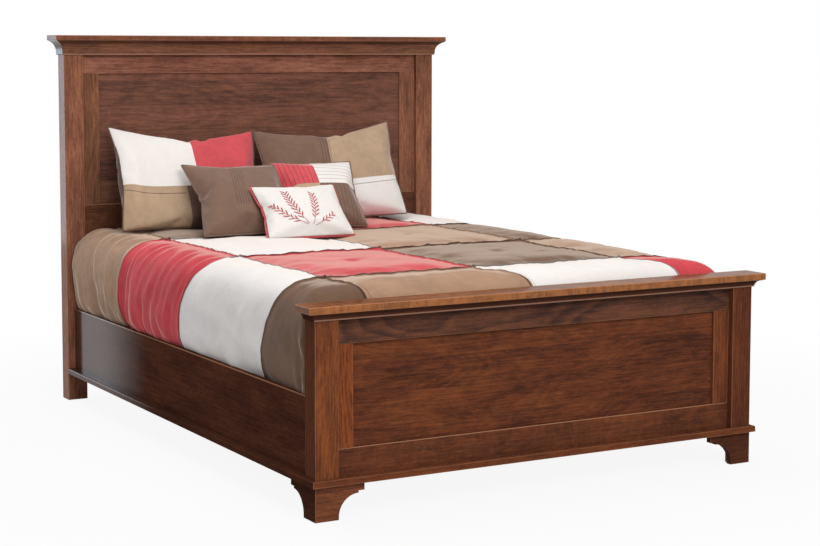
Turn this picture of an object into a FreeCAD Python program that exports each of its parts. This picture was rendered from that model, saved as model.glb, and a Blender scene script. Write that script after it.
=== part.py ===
import FreeCAD, Part
import math
import os
import re
import Sketcher

# Queen-size panel bed in stained hardwood, dressed with box spring, mattress, patchwork comforter
# and five pillows. Millimetres, +Z up, headboard towards +Y, footboard towards -Y. The origin is on
# the floor, under the middle of the whole outline.

DIMENSIONS = [
    # whole bed
    ("bed_length", 2256),  # footboard cap's front edge to the headboard's back
    ("foot_width", 1636),  # over the footboard posts
    ("head_width", 1664),  # over the headboard posts
    ("mattress_width", 1524),
    ("mattress_length", 2032),
    # frames and panels
    ("frame_thick", 28),
    ("panel_thick", 12),
    ("groove_depth", 8),
    ("panel_play", 1),  # room for the panel to swell in its grooves
    ("tenon_length", 30),
    ("tenon_shoulder", 12),
    ("edge_ease", 1.5),  # small chamfer on posts and rails
    ("cap_ease", 3),
    ("cove_step", 1.5),  # flat between a crown's bead and its cove
    ("crown_lip", 2),
    # headboard
    ("head_post_width", 78),
    ("head_post_depth", 70),
    ("head_cap_bottom", 1421),
    ("head_cap_thick", 20),
    ("head_cap_reach", 44),
    ("head_recess", 22),  # frame face behind the post face
    ("head_panel_recess", 9),  # panel face behind the frame face
    ("head_rail_bottom", 1290),
    ("head_low_rail_top", 772),
    ("head_low_rail_width", 172),
    ("head_stile_width", 72),
    ("head_crown_height", 57),
    ("head_crown_reach", 39),
    ("head_bead", 7.5),  # rounded fillet along the crown's lower edge
    ("head_bead_height", 10),
    ("head_bead_round", 4),
    ("head_cove", 42),
    ("stretcher_bottom", 200),
    ("stretcher_width", 140),
    # footboard
    ("foot_post_width", 78),
    ("foot_post_depth", 68),
    ("foot_cap_bottom", 622),
    ("foot_cap_thick", 22),
    ("foot_cap_reach", 33),
    ("foot_recess", 24),
    ("foot_panel_recess", 11),
    ("foot_rail_bottom", 520.5),
    ("foot_low_rail_top", 208),
    ("foot_stile_width", 61),
    ("foot_crown_height", 24),
    ("foot_crown_reach", 25),
    ("foot_bead", 5),
    ("foot_bead_height", 5),
    ("foot_bead_round", 2),
    ("foot_cove", 18),
    # base moulding and bracket feet
    ("base_bottom", 106),
    ("base_height", 20),
    ("base_reach", 14),
    ("base_nose", 5),  # radius of the moulding's rounded upper edge
    ("bracket_thick", 22),
    ("bracket_length", 164),
    ("bracket_toe", 78),  # width of the foot on the floor
    ("bracket_toe_rise", 9),
    ("bracket_curve", 66),  # radius of the concave quarter circle
    ("bracket_step", 7),
    ("block_size", 44),
    # side rails and deck
    ("rail_setback", 15),
    ("rail_thick", 22),
    ("rail_top", 363),
    ("cleat_width", 25),
    ("cleat_inset", 40),
    ("cleat_height", 22),
    ("slat_thick", 19),
    ("slat_width", 89),
    ("slat_bottom", 150),
    ("slat_end_gap", 3),
    ("slat_first", 190),  # first and last slat's centre from the ends of the rails
    ("slat_count", 5),
    ("leg_size", 45),
    ("leg_bottom", 12),
    ("stem_radius", 4),
    ("stem_length", 44),
    ("stem_play", 0.06),
    ("glide_radius", 15),
    ("glide_rim", 6),
    ("collar_radius", 7),
    ("peg_radius", 4),
    ("peg_length", 34),
    # bed-rail fasteners
    ("plate_thick", 3),
    ("plate_height", 120),
    ("plate_bottom", 190),
    ("plate_length", 70),
    ("keeper_width", 24),
    ("hook_reach", 13),
    ("hook_height", 22),
    ("hook_throat", 11),
    ("hook_lift", 12),
    ("hook_first", 18),
    ("hook_spacing", 62),
    ("hook_play", 1),
    # bedding
    ("spring_top", 397),
    ("mattress_top", 648),
    ("mattress_head_gap", 17),  # mattress end to the headboard posts' front
    ("mattress_corner", 60),
    ("mattress_edge", 25),  # slope along the mattress's top and bottom edges
    ("soft_gap", 0.5),  # room between soft pieces and their neighbours
    ("comforter_top", 680),
    ("comforter_crown", 4),
    ("comforter_tuck", 250),  # lower edge of the tucked sides
    ("comforter_shoulder", 110),
    ("comforter_bulge", 46),  # how far the sides swell past the rails' inner faces at the head
    ("comforter_foot_drop", 60),
    ("patch", 640),  # side of a sewn square
    ("seam_width", 16),
    ("seam_depth", 4),
    ("patch_width", 570),
    ("seam_across", -125),  # y of the middle seam across the bed
    ("seam_along", -60),  # x of the middle seam along the bed
    ("pillow_draw_in", 0.045),
    ("pillow_edge", 8),
    ("sham_width", 634),
    ("sham_height", 470),
    ("sham_thick", 146),
    ("square_width", 402),
    ("square_height", 390),
    ("square_thick", 140),
    ("pleated_thick", 112),
    ("small_width", 380),
    ("small_height", 300),
    ("small_thick", 100),
]

# Places that several pieces share, worked out from the driving dimensions.
PLACES = {
    "foot_front": "foot_cap_reach - bed_length / 2",
    "foot_back": "foot_front + foot_post_depth",
    "head_back": "bed_length / 2",
    "head_front": "head_back - head_post_depth",
    "foot_side": "foot_width / 2",
    "head_side": "head_width / 2",
    "foot_inner": "foot_side - foot_post_width",
    "head_inner": "head_side - head_post_width",
    "rail_face": "foot_side - rail_setback",
    "rail_inner": "rail_face - rail_thick",
    "rail_length": "head_front - foot_back",
    "base_top": "base_bottom + base_height",
    "mattress_head": "head_front - mattress_head_gap",
    "slat_pitch": "(rail_length - 2 * slat_first) / (slat_count - 1)",
    "slat_top": "slat_bottom + slat_thick",
}

doc = FreeCAD.newDocument("PanelBed")
sheet = doc.addObject("Spreadsheet::Sheet", "Sizes")
for row, (alias, value) in enumerate(DIMENSIONS, start=1):
    sheet.set(f"A{row}", alias)
    sheet.set(f"B{row}", str(value))
    sheet.setAlias(f"B{row}", alias)
doc.recompute()

ALIASES = {alias for alias, _ in DIMENSIONS}
WORD = re.compile(r"[a-z_][a-z_0-9]*")
LEFT, RIGHT = -1, 1
AXIS_X = FreeCAD.Vector(1, 0, 0)
AXIS_Y = FreeCAD.Vector(0, 1, 0)
AXIS_Z = FreeCAD.Vector(0, 0, 1)
parts = []


def expression(text):
    """Sheet expression for words of DIMENSIONS and PLACES."""

    def swap(match):
        word = match.group(0)
        if word in PLACES:
            return "(" + expression(PLACES[word]) + ")"
        return "Sizes." + word if word in ALIASES else word

    return WORD.sub(swap, text)


def size(text):
    return float(sheet.evalExpression(expression(text)))


def place(piece, x, y, z):
    for axis, text in zip("xyz", (x, y, z)):
        piece.setExpression(f"Placement.Base.{axis}", expression(text))


def new_body(label, x, y, z):
    body = doc.addObject("PartDesign::Body", label)
    body.Label = label
    place(body, x, y, z)
    parts.append(body)
    return body


def rectangle(x0, y0, x1, y1):
    return [(x0, y0), (x1, y0), (x1, y1), (x0, y1)]


def mirrored(outline, side):
    """The outline, turned over about its vertical axis on the left side of the bed."""
    if side == RIGHT:
        return outline
    flipped = []
    for x, y, *arc in outline:
        turn = {"+": "-", "-": "+"}
        flipped.append((f"-({x})", y, *[turn[a[0]] + a[1:] for a in arc]))
    return flipped


def arc_middle(start, end, radius, turn):
    """Middle of the short arc from start to end, turning left (+) or right (-)."""
    chord = end - start
    normal = FreeCAD.Vector(-chord.y, chord.x, 0).normalize() * turn
    rise = math.sqrt(max(radius**2 - (chord.Length / 2) ** 2, 0))
    return (start + end) / 2 + normal * (rise - radius)


def draw_circle(sketch, x, y, radius):
    middle = FreeCAD.Vector(size(x), size(y), 0)
    edge = sketch.addGeometry(Part.Circle(middle, AXIS_Z, size(radius)), False)
    for kind, text, value in (("DistanceX", x, middle.x), ("DistanceY", y, middle.y)):
        bind = sketch.addConstraint(Sketcher.Constraint(kind, -1, 1, edge, 3, value))
        sketch.setExpression(f"Constraints[{bind}]", expression(text))
    bind = sketch.addConstraint(Sketcher.Constraint("Radius", edge, size(radius)))
    sketch.setExpression(f"Constraints[{bind}]", expression(radius))


def draw(sketch, outline):
    """Closed outline of bound points; a third item is the radius of an arc to the next point."""
    if len(outline) == 1:
        draw_circle(sketch, *outline[0])
        return
    corners = [FreeCAD.Vector(size(item[0]), size(item[1]), 0) for item in outline]
    starts = []
    for index, item in enumerate(outline):
        start, end = corners[index], corners[(index + 1) % len(corners)]
        if len(item) == 3:
            turn = 1 if item[2][0] == "+" else -1
            middle = arc_middle(start, end, size(item[2][1:]), turn)
            edge = sketch.addGeometry(Part.Arc(start, middle, end), False)
            first = 1 if sketch.getPoint(edge, 1).isEqual(start, 1e-6) else 2
        else:
            edge = sketch.addGeometry(Part.LineSegment(start, end), False)
            first = 1
        starts.append((edge, first))
    for index, (edge, first) in enumerate(starts):
        following, begin = starts[(index + 1) % len(starts)]
        sketch.addConstraint(Sketcher.Constraint("Coincident", edge, 3 - first, following, begin))
    for (edge, first), item, corner in zip(starts, outline, corners):
        for kind, text, value in (("DistanceX", item[0], corner.x), ("DistanceY", item[1], corner.y)):
            bind = sketch.addConstraint(Sketcher.Constraint(kind, -1, 1, edge, first, value))
            sketch.setExpression(f"Constraints[{bind}]", expression(text))
        if len(item) == 3:
            bind = sketch.addConstraint(Sketcher.Constraint("Radius", edge, size(item[2][1:])))
            sketch.setExpression(f"Constraints[{bind}]", expression(item[2][1:]))


def new_sketch(body, plane, outlines, lift="0"):
    """Sketch on one of the body's own origin planes, lifted along the plane's normal."""
    sketch = body.newObject("Sketcher::SketchObject", body.Name + "_sketch")
    support = next(f for f in body.Origin.OriginFeatures if f.Role == plane)
    sketch.AttachmentSupport = [(support, "")]
    sketch.MapMode = "FlatFace"
    sketch.setExpression("AttachmentOffset.Base.z", expression(lift))
    for outline in outlines if isinstance(outlines[0], list) else [outlines]:
        draw(sketch, outline)
    return sketch


def pad(body, plane, outlines, length, lift="0", both_ways=False, reverse=False):
    feature = body.newObject("PartDesign::Pad", body.Name + "_pad")
    feature.Profile = new_sketch(body, plane, outlines, lift)
    feature.setExpression("Length", expression(length))
    feature.SideType = "Symmetric" if both_ways else "One side"
    feature.Reversed = reverse
    doc.recompute()
    return feature


def pocket(body, plane, outlines, length, lift="0", both_ways=False, reverse=False):
    """Pocket that stops the build if it takes nothing away."""
    before = body.Shape.Volume
    feature = body.newObject("PartDesign::Pocket", body.Name + "_pocket")
    feature.Profile = new_sketch(body, plane, outlines, lift)
    feature.setExpression("Length", expression(length))
    feature.SideType = "Symmetric" if both_ways else "One side"
    feature.Reversed = reverse
    doc.recompute()
    if not body.Shape.Volume < before - 1:
        raise RuntimeError(f"{body.Label}: a pocket cuts nothing")
    return feature


def edges_along(shape, direction, keep):
    """Names of the straight edges along a direction whose middle passes the keep test."""
    names = []
    for index, edge in enumerate(shape.Edges, start=1):
        if edge.Curve.TypeId != "Part::GeomLine":
            continue
        along = abs(edge.tangentAt(edge.FirstParameter).dot(direction))
        if along > 0.999 and keep(edge.CenterOfMass):
            names.append(f"Edge{index}")
    return names


def ease(body, kind, amount, names):
    """Chamfer or fillet on the body's named edges."""
    base = body.Tip
    feature = body.newObject(f"PartDesign::{kind}", f"{body.Name}_{kind.lower()}")
    feature.Base = (base, names)
    feature.setExpression("Size" if kind == "Chamfer" else "Radius", expression(amount))
    doc.recompute()
    return feature



# ---------------------------------------------------------------- posts


def post(label, side, board, top, bottom, rails, hook_side):
    """Square post with mortises for the rails' tenons and a recess for the keeper plate.

    board is head or foot; rails lists each rail's (low, high) edges; hook_side is the local y of
    the face that meets the side rail.
    """
    width, depth = f"{board}_post_width", f"{board}_post_depth"
    recess = f"({board}_recess + frame_thick / 2 - panel_thick / 2)"
    body = new_body(label, f"{side} * ({board}_side - {width} / 2)", f"{board}_front", "0")
    pad(
        body,
        "XY_Plane",
        rectangle(f"-{width} / 2", "0", f"{width} / 2", depth),
        f"{top} - ({bottom})",
        lift=bottom,
    )
    faces = lambda p: p.y < 1 or p.y > size(depth) - 1
    ease(body, "Chamfer", "edge_ease", edges_along(body.Tip.Shape, AXIS_Z, faces))
    mortises = []
    for low, high in rails:
        low_edge, high_edge = f"{low} + tenon_shoulder", f"{high} - tenon_shoulder"
        mortises.append(rectangle(recess, low_edge, f"{recess} + panel_thick", high_edge))
    inner = f"{-side} * {width} / 2"
    pocket(body, "YZ_Plane", mortises, "tenon_length", lift=inner, reverse=side == RIGHT)
    keeper_recess(body, side, board, hook_side, width)
    return body


def hook_line(side, board, width):
    """Local x of the hook plate's middle plane in a post."""
    return f"{side} * (rail_inner + plate_thick / 2 - {board}_side + {width} / 2)"


def hook_windows(middle, low):
    """Outlines of the slots for the two hooks, with room above to lift them out."""
    half = "(plate_thick / 2 + hook_play)"
    windows = []
    for index in range(2):
        start = f"plate_bottom + hook_first + {index} * hook_spacing"
        high = f"{start} + hook_height + hook_lift"
        windows.append(rectangle(f"{middle} - {half}", f"{start} + {low}", f"{middle} + {half}", high))
    return windows


def keeper_recess(body, side, board, hook_side, width):
    """Flat recess for the keeper plate and two deeper slots for the hooks."""
    middle = hook_line(side, board, width)
    plate = rectangle(
        f"{middle} - keeper_width / 2",
        "plate_bottom",
        f"{middle} + keeper_width / 2",
        "plate_bottom + plate_height",
    )
    # the sketch plane faces -Y, so a face at local y is lifted by -y
    lift = f"-({hook_side})"
    into = board == "foot"
    pocket(body, "XZ_Plane", plate, "plate_thick", lift=lift, reverse=into)
    windows = hook_windows(middle, "0 - hook_play")
    pocket(body, "XZ_Plane", windows, "hook_reach + hook_play", lift=lift, reverse=into)


def build_posts():
    for side, name in ((LEFT, "left"), (RIGHT, "right")):
        post(
            f"headboard_post_{name}",
            side,
            "head",
            "head_cap_bottom",
            "0",
            [
                ("stretcher_bottom", "stretcher_bottom + stretcher_width"),
                ("head_low_rail_top - head_low_rail_width", "head_low_rail_top"),
                ("head_rail_bottom", "head_cap_bottom"),
            ],
            "0",
        )
        post(
            f"footboard_post_{name}",
            side,
            "foot",
            "foot_cap_bottom",
            "base_bottom",
            [("base_bottom", "foot_low_rail_top"), ("foot_rail_bottom", "foot_cap_bottom")],
            "foot_post_depth",
        )



# ---------------------------------------------------------------- frames and panels


def frame_origin(board):
    return f"{board}_front + {board}_recess"


def frame_rail(label, board, low, high, groove_at):
    """Rail between two posts, with tenons and a groove for the panel and the stiles' stub tenons.

    groove_at is the z of the groove's open side, or None; it lies on the rail's low or high edge.
    """
    body = new_body(label, "0", frame_origin(board), "0")
    pad(body, "YZ_Plane", rectangle("0", low, "frame_thick", high), f"2 * {board}_inner", both_ways=True)
    front = lambda p: p.y < 1
    ease(body, "Chamfer", "edge_ease", edges_along(body.Tip.Shape, AXIS_X, front))
    middle = "(frame_thick / 2 - panel_thick / 2)"
    tenon = rectangle(middle, f"{low} + tenon_shoulder", f"{middle} + panel_thick", f"{high} - tenon_shoulder")
    pad(body, "YZ_Plane", tenon, f"2 * ({board}_inner + tenon_length)", both_ways=True)
    if groove_at:
        edge = low if groove_at == "low" else f"{high} - groove_depth"
        face = f"{board}_panel_recess"
        groove = rectangle(face, edge, f"{face} + panel_thick", f"{edge} + groove_depth")
        pocket(body, "YZ_Plane", groove, f"2 * {board}_inner", both_ways=True)


def stile(label, side, board, low, high):
    """Upright between the rails: stub tenons top and bottom, grooved along its inner edge."""
    width = f"{board}_stile_width"
    body = new_body(label, f"{side} * ({board}_inner - {width} / 2)", frame_origin(board), "0")
    face = f"{board}_panel_recess"
    outline = rectangle(f"-{width} / 2", "0", f"{width} / 2", "frame_thick")
    pad(body, "XY_Plane", outline, f"{high} - ({low})", lift=low)
    inner_front = lambda p: p.y < 1 and p.x * side < 0
    ease(body, "Chamfer", "edge_ease", edges_along(body.Tip.Shape, AXIS_Z, inner_front))
    stub = rectangle(f"-{width} / 2", face, f"{width} / 2", f"{face} + panel_thick")
    pad(body, "XY_Plane", stub, f"{high} - ({low}) + 2 * groove_depth", lift=f"{low} - groove_depth")
    groove = mirrored(
        rectangle(f"-{width} / 2", face, f"groove_depth - {width} / 2", f"{face} + panel_thick"), side
    )
    height = f"{high} - ({low}) + 2 * groove_depth"
    pocket(body, "XY_Plane", groove, height, lift=f"{low} - groove_depth", reverse=True)


def panel(label, board, low, high):
    body = new_body(label, "0", f"{frame_origin(board)} + {board}_panel_recess", "0")
    reach = "(groove_depth - panel_play)"
    half = f"({board}_inner - {board}_stile_width + {reach})"
    outline = rectangle(f"-{half}", f"{low} - {reach}", half, f"{high} + {reach}")
    pad(body, "XZ_Plane", outline, "panel_thick", reverse=True)


def build_frames():
    head_low = "(head_low_rail_top - head_low_rail_width)"
    frame_rail("headboard_top_rail", "head", "head_rail_bottom", "head_cap_bottom", "low")
    frame_rail("headboard_bottom_rail", "head", head_low, "head_low_rail_top", "high")
    stretcher_top = "stretcher_bottom + stretcher_width"
    frame_rail("headboard_stretcher", "head", "stretcher_bottom", stretcher_top, None)
    frame_rail("footboard_top_rail", "foot", "foot_rail_bottom", "foot_cap_bottom", "low")
    frame_rail("footboard_bottom_rail", "foot", "base_bottom", "foot_low_rail_top", "high")
    for board in ("head", "foot"):
        low, high = f"{board}_low_rail_top", f"{board}_rail_bottom"
        for side, name in ((LEFT, "left"), (RIGHT, "right")):
            stile(f"{board}board_stile_{name}", side, board, low, high)
        panel(f"{board}board_panel", board, low, high)


# ---------------------------------------------------------------- crowns, caps, base moulding


def crown_outline(board):
    """Cove moulding in section: x is the distance out from the post's face."""
    bead, bead_height, turn = f"{board}_bead", f"{board}_bead_height", f"{board}_bead_round"
    reach, height = f"{board}_crown_reach", f"{board}_crown_height"
    return [
        ("0", "0"),
        (f"{bead} - {turn}", "0", f"+{turn}"),
        (bead, turn),
        (bead, bead_height),
        (f"{bead} + cove_step", bead_height, f"-{board}_cove"),
        (reach, f"{height} - crown_lip"),
        (reach, height),
        ("0", height),
    ]


def base_outline(back):
    """Base moulding in section, from back behind the post's face to its rounded nose."""
    return [
        (back, "0"),
        ("base_reach", "0"),
        ("base_reach", "base_height - base_nose", "+base_nose"),
        ("base_reach - base_nose", "base_height"),
        (back, "base_height"),
    ]


def mitred_set(stem, board, outline, reach, bottom, height):
    """Moulding round the front and both ends of a board, mitred at the two corners."""
    past = f"({reach} + 1)"
    front = new_body(f"{stem}_front", "0", f"{board}_front", bottom)
    length = f"2 * ({board}_side + {reach})"
    pad(front, "YZ_Plane", mirrored(outline, LEFT), length, both_ways=True)
    wedge = [
        (f"{board}_side", "0"),
        (f"{board}_side + {past}", f"-{past}"),
        (f"{board}_side + {past}", "0"),
    ]
    pocket(front, "XY_Plane", [wedge, mirrored(wedge, LEFT)], f"3 * {height}", both_ways=True)
    for side, name in ((LEFT, "left"), (RIGHT, "right")):
        end = new_body(f"{stem}_{name}", f"{side} * {board}_side", f"{board}_front", bottom)
        length = f"{reach} + {board}_post_depth"
        pad(end, "XZ_Plane", mirrored(outline, side), length, lift=reach, reverse=True)
        wedge = mirrored([("0", "0"), (past, f"-{past}"), ("0", f"-{past}")], side)
        pocket(end, "XY_Plane", wedge, f"3 * {height}", both_ways=True)


def crown_and_cap(board):
    height = f"{board}_crown_height"
    bottom = f"{board}_cap_bottom - {height}"
    stem = f"{board}board_crown"
    mitred_set(stem, board, crown_outline(board), f"{board}_crown_reach", bottom, height)

    backer = new_body(f"{stem}_backer", "0", f"{board}_front", bottom)
    pad(backer, "XY_Plane", rectangle(f"-{board}_inner", "0", f"{board}_inner", f"{board}_recess"), height)

    cap = new_body(f"{board}board_cap", "0", f"{board}_front", f"{board}_cap_bottom")
    reach, half = f"{board}_cap_reach", f"({board}_side + {board}_cap_reach)"
    outline = rectangle(f"-{half}", f"-{reach}", half, f"{board}_post_depth")
    pad(cap, "XY_Plane", outline, f"{board}_cap_thick")
    front, end = 1 - size(reach), size(half) - 1
    shape = cap.Tip.Shape
    names = edges_along(shape, AXIS_X, lambda p: p.y < front)
    names += edges_along(shape, AXIS_Y, lambda p: abs(p.x) > end)
    names += edges_along(shape, AXIS_Z, lambda p: p.y < front)
    ease(cap, "Fillet", "cap_ease", names)


# ---------------------------------------------------------------- bracket feet


def bracket_outline():
    """Bracket foot: a toe on the floor, a concave quarter circle and a small step."""
    curve_end = "bracket_toe + bracket_curve"
    return [
        ("0", "0"),
        ("bracket_toe", "0"),
        ("bracket_toe", "bracket_toe_rise", "-bracket_curve"),
        (curve_end, "bracket_toe_rise + bracket_curve"),
        (curve_end, "bracket_toe_rise + bracket_curve + bracket_step"),
        ("bracket_length", "bracket_toe_rise + bracket_curve + bracket_step"),
        ("bracket_length", "base_bottom"),
        ("0", "base_bottom"),
    ]


def bracket_foot(side, name):
    """Two mitred boards round a glue block, at one corner of the footboard."""
    corner = (f"{side} * foot_side", "foot_front", "0")
    thick = "bracket_thick"
    front = new_body(f"foot_front_{name}", *corner)
    pad(front, "XZ_Plane", mirrored(bracket_outline(), -side), thick, reverse=True)
    wedge = mirrored([("0", "0"), (thick, thick), ("0", thick)], -side)
    pocket(front, "XY_Plane", wedge, "3 * base_bottom", both_ways=True)

    board = new_body(f"foot_side_{name}", *corner)
    pad(board, "YZ_Plane", bracket_outline(), thick, reverse=side == RIGHT)
    wedge = mirrored([("0", "0"), (thick, "0"), (thick, thick)], -side)
    pocket(board, "XY_Plane", wedge, "3 * base_bottom", both_ways=True)

    block = new_body(f"foot_block_{name}", *corner)
    far, half = "bracket_thick + block_size", "bracket_thick + block_size / 2"
    outline = [(thick, thick), (far, thick), (far, half), (half, far), (thick, far)]
    pad(block, "XY_Plane", mirrored(outline, -side), "base_bottom")


# ---------------------------------------------------------------- side rails


def side_rail(side, name):
    rail = new_body(f"side_rail_{name}", f"{side} * rail_face", "foot_back", "0")
    profile = mirrored(rectangle("-rail_thick", "base_bottom", "0", "rail_top"), side)
    pad(rail, "XZ_Plane", profile, "rail_length", reverse=True)
    top = size("rail_top") - 1
    ease(rail, "Fillet", "cap_ease", edges_along(rail.Tip.Shape, AXIS_Y, lambda p: p.z > top))
    low, high = "plate_bottom", "plate_bottom + plate_height"
    ends = [
        rectangle("0", low, "plate_length", high),
        rectangle("rail_length - plate_length", low, "rail_length", high),
    ]
    pocket(rail, "YZ_Plane", ends, "plate_thick", lift=f"-({side}) * rail_thick", reverse=side == RIGHT)

    moulding = new_body(f"rail_moulding_{name}", f"{side} * foot_side", "foot_back", "base_bottom")
    outline = mirrored(base_outline("-rail_setback"), side)
    pad(moulding, "XZ_Plane", outline, "rail_length", reverse=True)


def hook_plate(side, end):
    """Steel plate in the rail's inner face, with two hooks that drop behind the keeper plate."""
    body = doc.addObject("PartDesign::Body", "hook_plate")
    way = 1 if end == "head" else -1
    place(body, f"{side} * (rail_inner + plate_thick / 2)", "head_front" if way == 1 else "foot_back", "0")
    outline = [(f"-({way}) * plate_length", "plate_bottom"), ("0", "plate_bottom")]
    for index in range(2):
        low = f"plate_bottom + hook_first + {index} * hook_spacing"
        neck = f"{low} + hook_height - hook_throat"
        nose = f"{way} * (plate_thick + hook_play)"
        tip = f"{way} * hook_reach"
        top = f"{low} + hook_height"
        outline += [("0", neck), (nose, neck), (nose, low), (tip, low), (tip, top), ("0", top)]
    high = "plate_bottom + plate_height"
    outline += [("0", high), (f"-({way}) * plate_length", high)]
    pad(body, "YZ_Plane", outline, "plate_thick", both_ways=True)
    return body


def keeper_plate(side, board):
    """Slotted plate let in flush with the post's face."""
    body = doc.addObject("PartDesign::Body", "keeper_plate")
    way = 1 if board == "head" else -1
    place(body, f"{side} * (rail_inner + plate_thick / 2)", "head_front" if way == 1 else "foot_back", "0")
    plate = rectangle("-keeper_width / 2", "plate_bottom", "keeper_width / 2", "plate_bottom + plate_height")
    windows = hook_windows("0", "hook_height - hook_throat")
    pad(body, "XZ_Plane", [plate, *windows], "plate_thick", reverse=way == 1)
    return body


def group(label, pieces):
    """Several identical fasteners as one sub-part of separate solids."""
    compound = doc.addObject("Part::Compound", label)
    compound.Label = label
    compound.Links = pieces
    parts.append(compound)
    doc.recompute()
    return compound


# ---------------------------------------------------------------- deck


def slat_middle(index):
    return f"foot_back + slat_first + {index} * slat_pitch"


def slat_pegs(slats):
    """Hardwood pegs that hold the ends of the listed slats to the cleats."""
    pegs = []
    for index in slats:
        for side in (LEFT, RIGHT):
            peg = doc.addObject("Part::Cylinder", "peg")
            peg.setExpression("Radius", expression("peg_radius"))
            peg.setExpression("Height", expression("peg_length"))
            x = f"{side} * (rail_inner - cleat_width / 2)"
            place(peg, x, slat_middle(index), "slat_top - peg_length")
            pegs.append(peg)
    return group("slat_pegs", pegs)


def board(label, corner, lengths, pegs=None):
    """Plain board, bored for the pegs that pass through it."""
    plain = doc.addObject("Part::Box", "blank")
    for name, text in zip(("Length", "Width", "Height"), lengths):
        plain.setExpression(name, expression(text))
    place(plain, *corner)
    if pegs:
        bored = doc.addObject("Part::Cut", "bored")
        bored.Base, bored.Tool = plain, pegs
        plain = bored
    plain.Label = label
    parts.append(plain)


def support_leg(index, slat):
    """Square leg under a slat's middle, bored for the levelling glide's stem."""
    y = slat_middle(slat)
    leg = new_body(f"support_leg_{index}", "0", y, "0")
    half = "leg_size / 2"
    pad(leg, "XY_Plane", rectangle(f"-{half}", f"-{half}", half, half), "slat_bottom - leg_bottom", lift="leg_bottom")
    ease(leg, "Chamfer", "edge_ease", edges_along(leg.Tip.Shape, AXIS_Z, lambda p: True))
    bore = [("0", "0", "stem_radius + stem_play")]
    pocket(leg, "XY_Plane", bore, "stem_length - leg_bottom + 2", lift="leg_bottom", reverse=True)

    glide = new_body(f"levelling_glide_{index}", "0", y, "0")
    outline = [
        ("0", "0"),
        ("glide_radius", "0"),
        ("glide_radius", "glide_rim"),
        ("collar_radius", "glide_rim"),
        ("collar_radius", "leg_bottom"),
        ("stem_radius", "leg_bottom"),
        ("stem_radius", "stem_length"),
        ("0", "stem_length"),
    ]
    turned = glide.newObject("PartDesign::Revolution", f"{glide.Name}_turned")
    turned.Profile = new_sketch(glide, "XZ_Plane", outline)
    turned.ReferenceAxis = (turned.Profile[0], ["V_Axis"])
    turned.Angle = 360
    doc.recompute()


def build_deck():
    count = int(size("slat_count"))
    pegged = (0, count // 2, count - 1)
    pegs = slat_pegs(pegged)
    span = "2 * (rail_inner - slat_end_gap)"
    for index in range(count):
        corner = ("slat_end_gap - rail_inner", f"{slat_middle(index)} - slat_width / 2", "slat_bottom")
        lengths = (span, "slat_width", "slat_thick")
        board(f"slat_{index + 1}", corner, lengths, pegs if index in pegged else None)
    for side, name in ((LEFT, "left"), (RIGHT, "right")):
        x = "-rail_inner" if side == LEFT else "rail_inner - cleat_width"
        corner = (x, "foot_back + cleat_inset", "slat_bottom - cleat_height")
        lengths = ("cleat_width", "rail_length - 2 * cleat_inset", "cleat_height")
        board(f"slat_cleat_{name}", corner, lengths, pegs)
    support_leg(1, 1)
    support_leg(2, 3)


# ---------------------------------------------------------------- bedding


def rounded_block(label, bottom, top, edge):
    """Box spring or mattress: upright corners of a wide radius, sloped top and bottom edges."""
    body = new_body(label, "0", "mattress_head - mattress_length", bottom)
    half = "mattress_width / 2"
    pad(body, "XY_Plane", rectangle(f"-{half}", "0", half, "mattress_length"), f"{top} - ({bottom})")
    ease(body, "Fillet", "mattress_corner", edges_along(body.Tip.Shape, AXIS_Z, lambda p: True))
    shape = body.Tip.Shape
    flat = [f"Edge{i}" for i, e in enumerate(shape.Edges, start=1) if is_level(e)]
    ease(body, "Chamfer", edge, flat)


def is_level(edge):
    box = edge.BoundBox
    return box.ZLength < 0.01


def soft_part(label, shape, placement=None):
    piece = doc.addObject("Part::Feature", label)
    piece.Label = label
    piece.Shape = shape
    if placement:
        piece.Placement = placement
    parts.append(piece)


def arc_points(start, end, lean, steps):
    """Points from start up to but not at end, on the arc whose middle leans out from the chord."""
    arc = Part.Arc(start, (start + end) / 2 + lean, end)
    return arc.discretize(steps + 1)[:-1]


def closed_wire(points):
    return Part.makePolygon([*points, points[0]])


def swell(start, end, sag, steps):
    """Arc across the bed that leans out to the left of its chord by sag."""
    left = FreeCAD.Vector(start.z - end.z, 0, end.x - start.x).normalize()
    return arc_points(start, end, left * sag, steps)


def comforter_section(y, top, bulge, shoulder):
    """Closed outline across the bed at y: tucked sides, swelling drops, round shoulders, crown."""
    at = lambda x, z: FreeCAD.Vector(x, y, z)
    tuck = size("rail_inner - soft_gap")
    low, rail = size("comforter_tuck"), size("rail_top + cap_ease")
    left = [at(-tuck, rail), at(-tuck - bulge, top - shoulder), at(shoulder - tuck - bulge, top)]
    right = [at(-p.x, p.z) for p in reversed(left)]
    side, round_over = bulge / 3 + 2, shoulder * 0.27
    return closed_wire(
        [
            at(-tuck, low),
            *swell(left[0], left[1], side, 3),
            *swell(left[1], left[2], round_over, 4),
            *swell(left[2], right[0], size("comforter_crown"), 4),
            *swell(right[0], right[1], round_over, 4),
            *swell(right[1], right[2], side, 3),
            right[2],
            at(tuck, low),
        ]
    )


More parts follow.
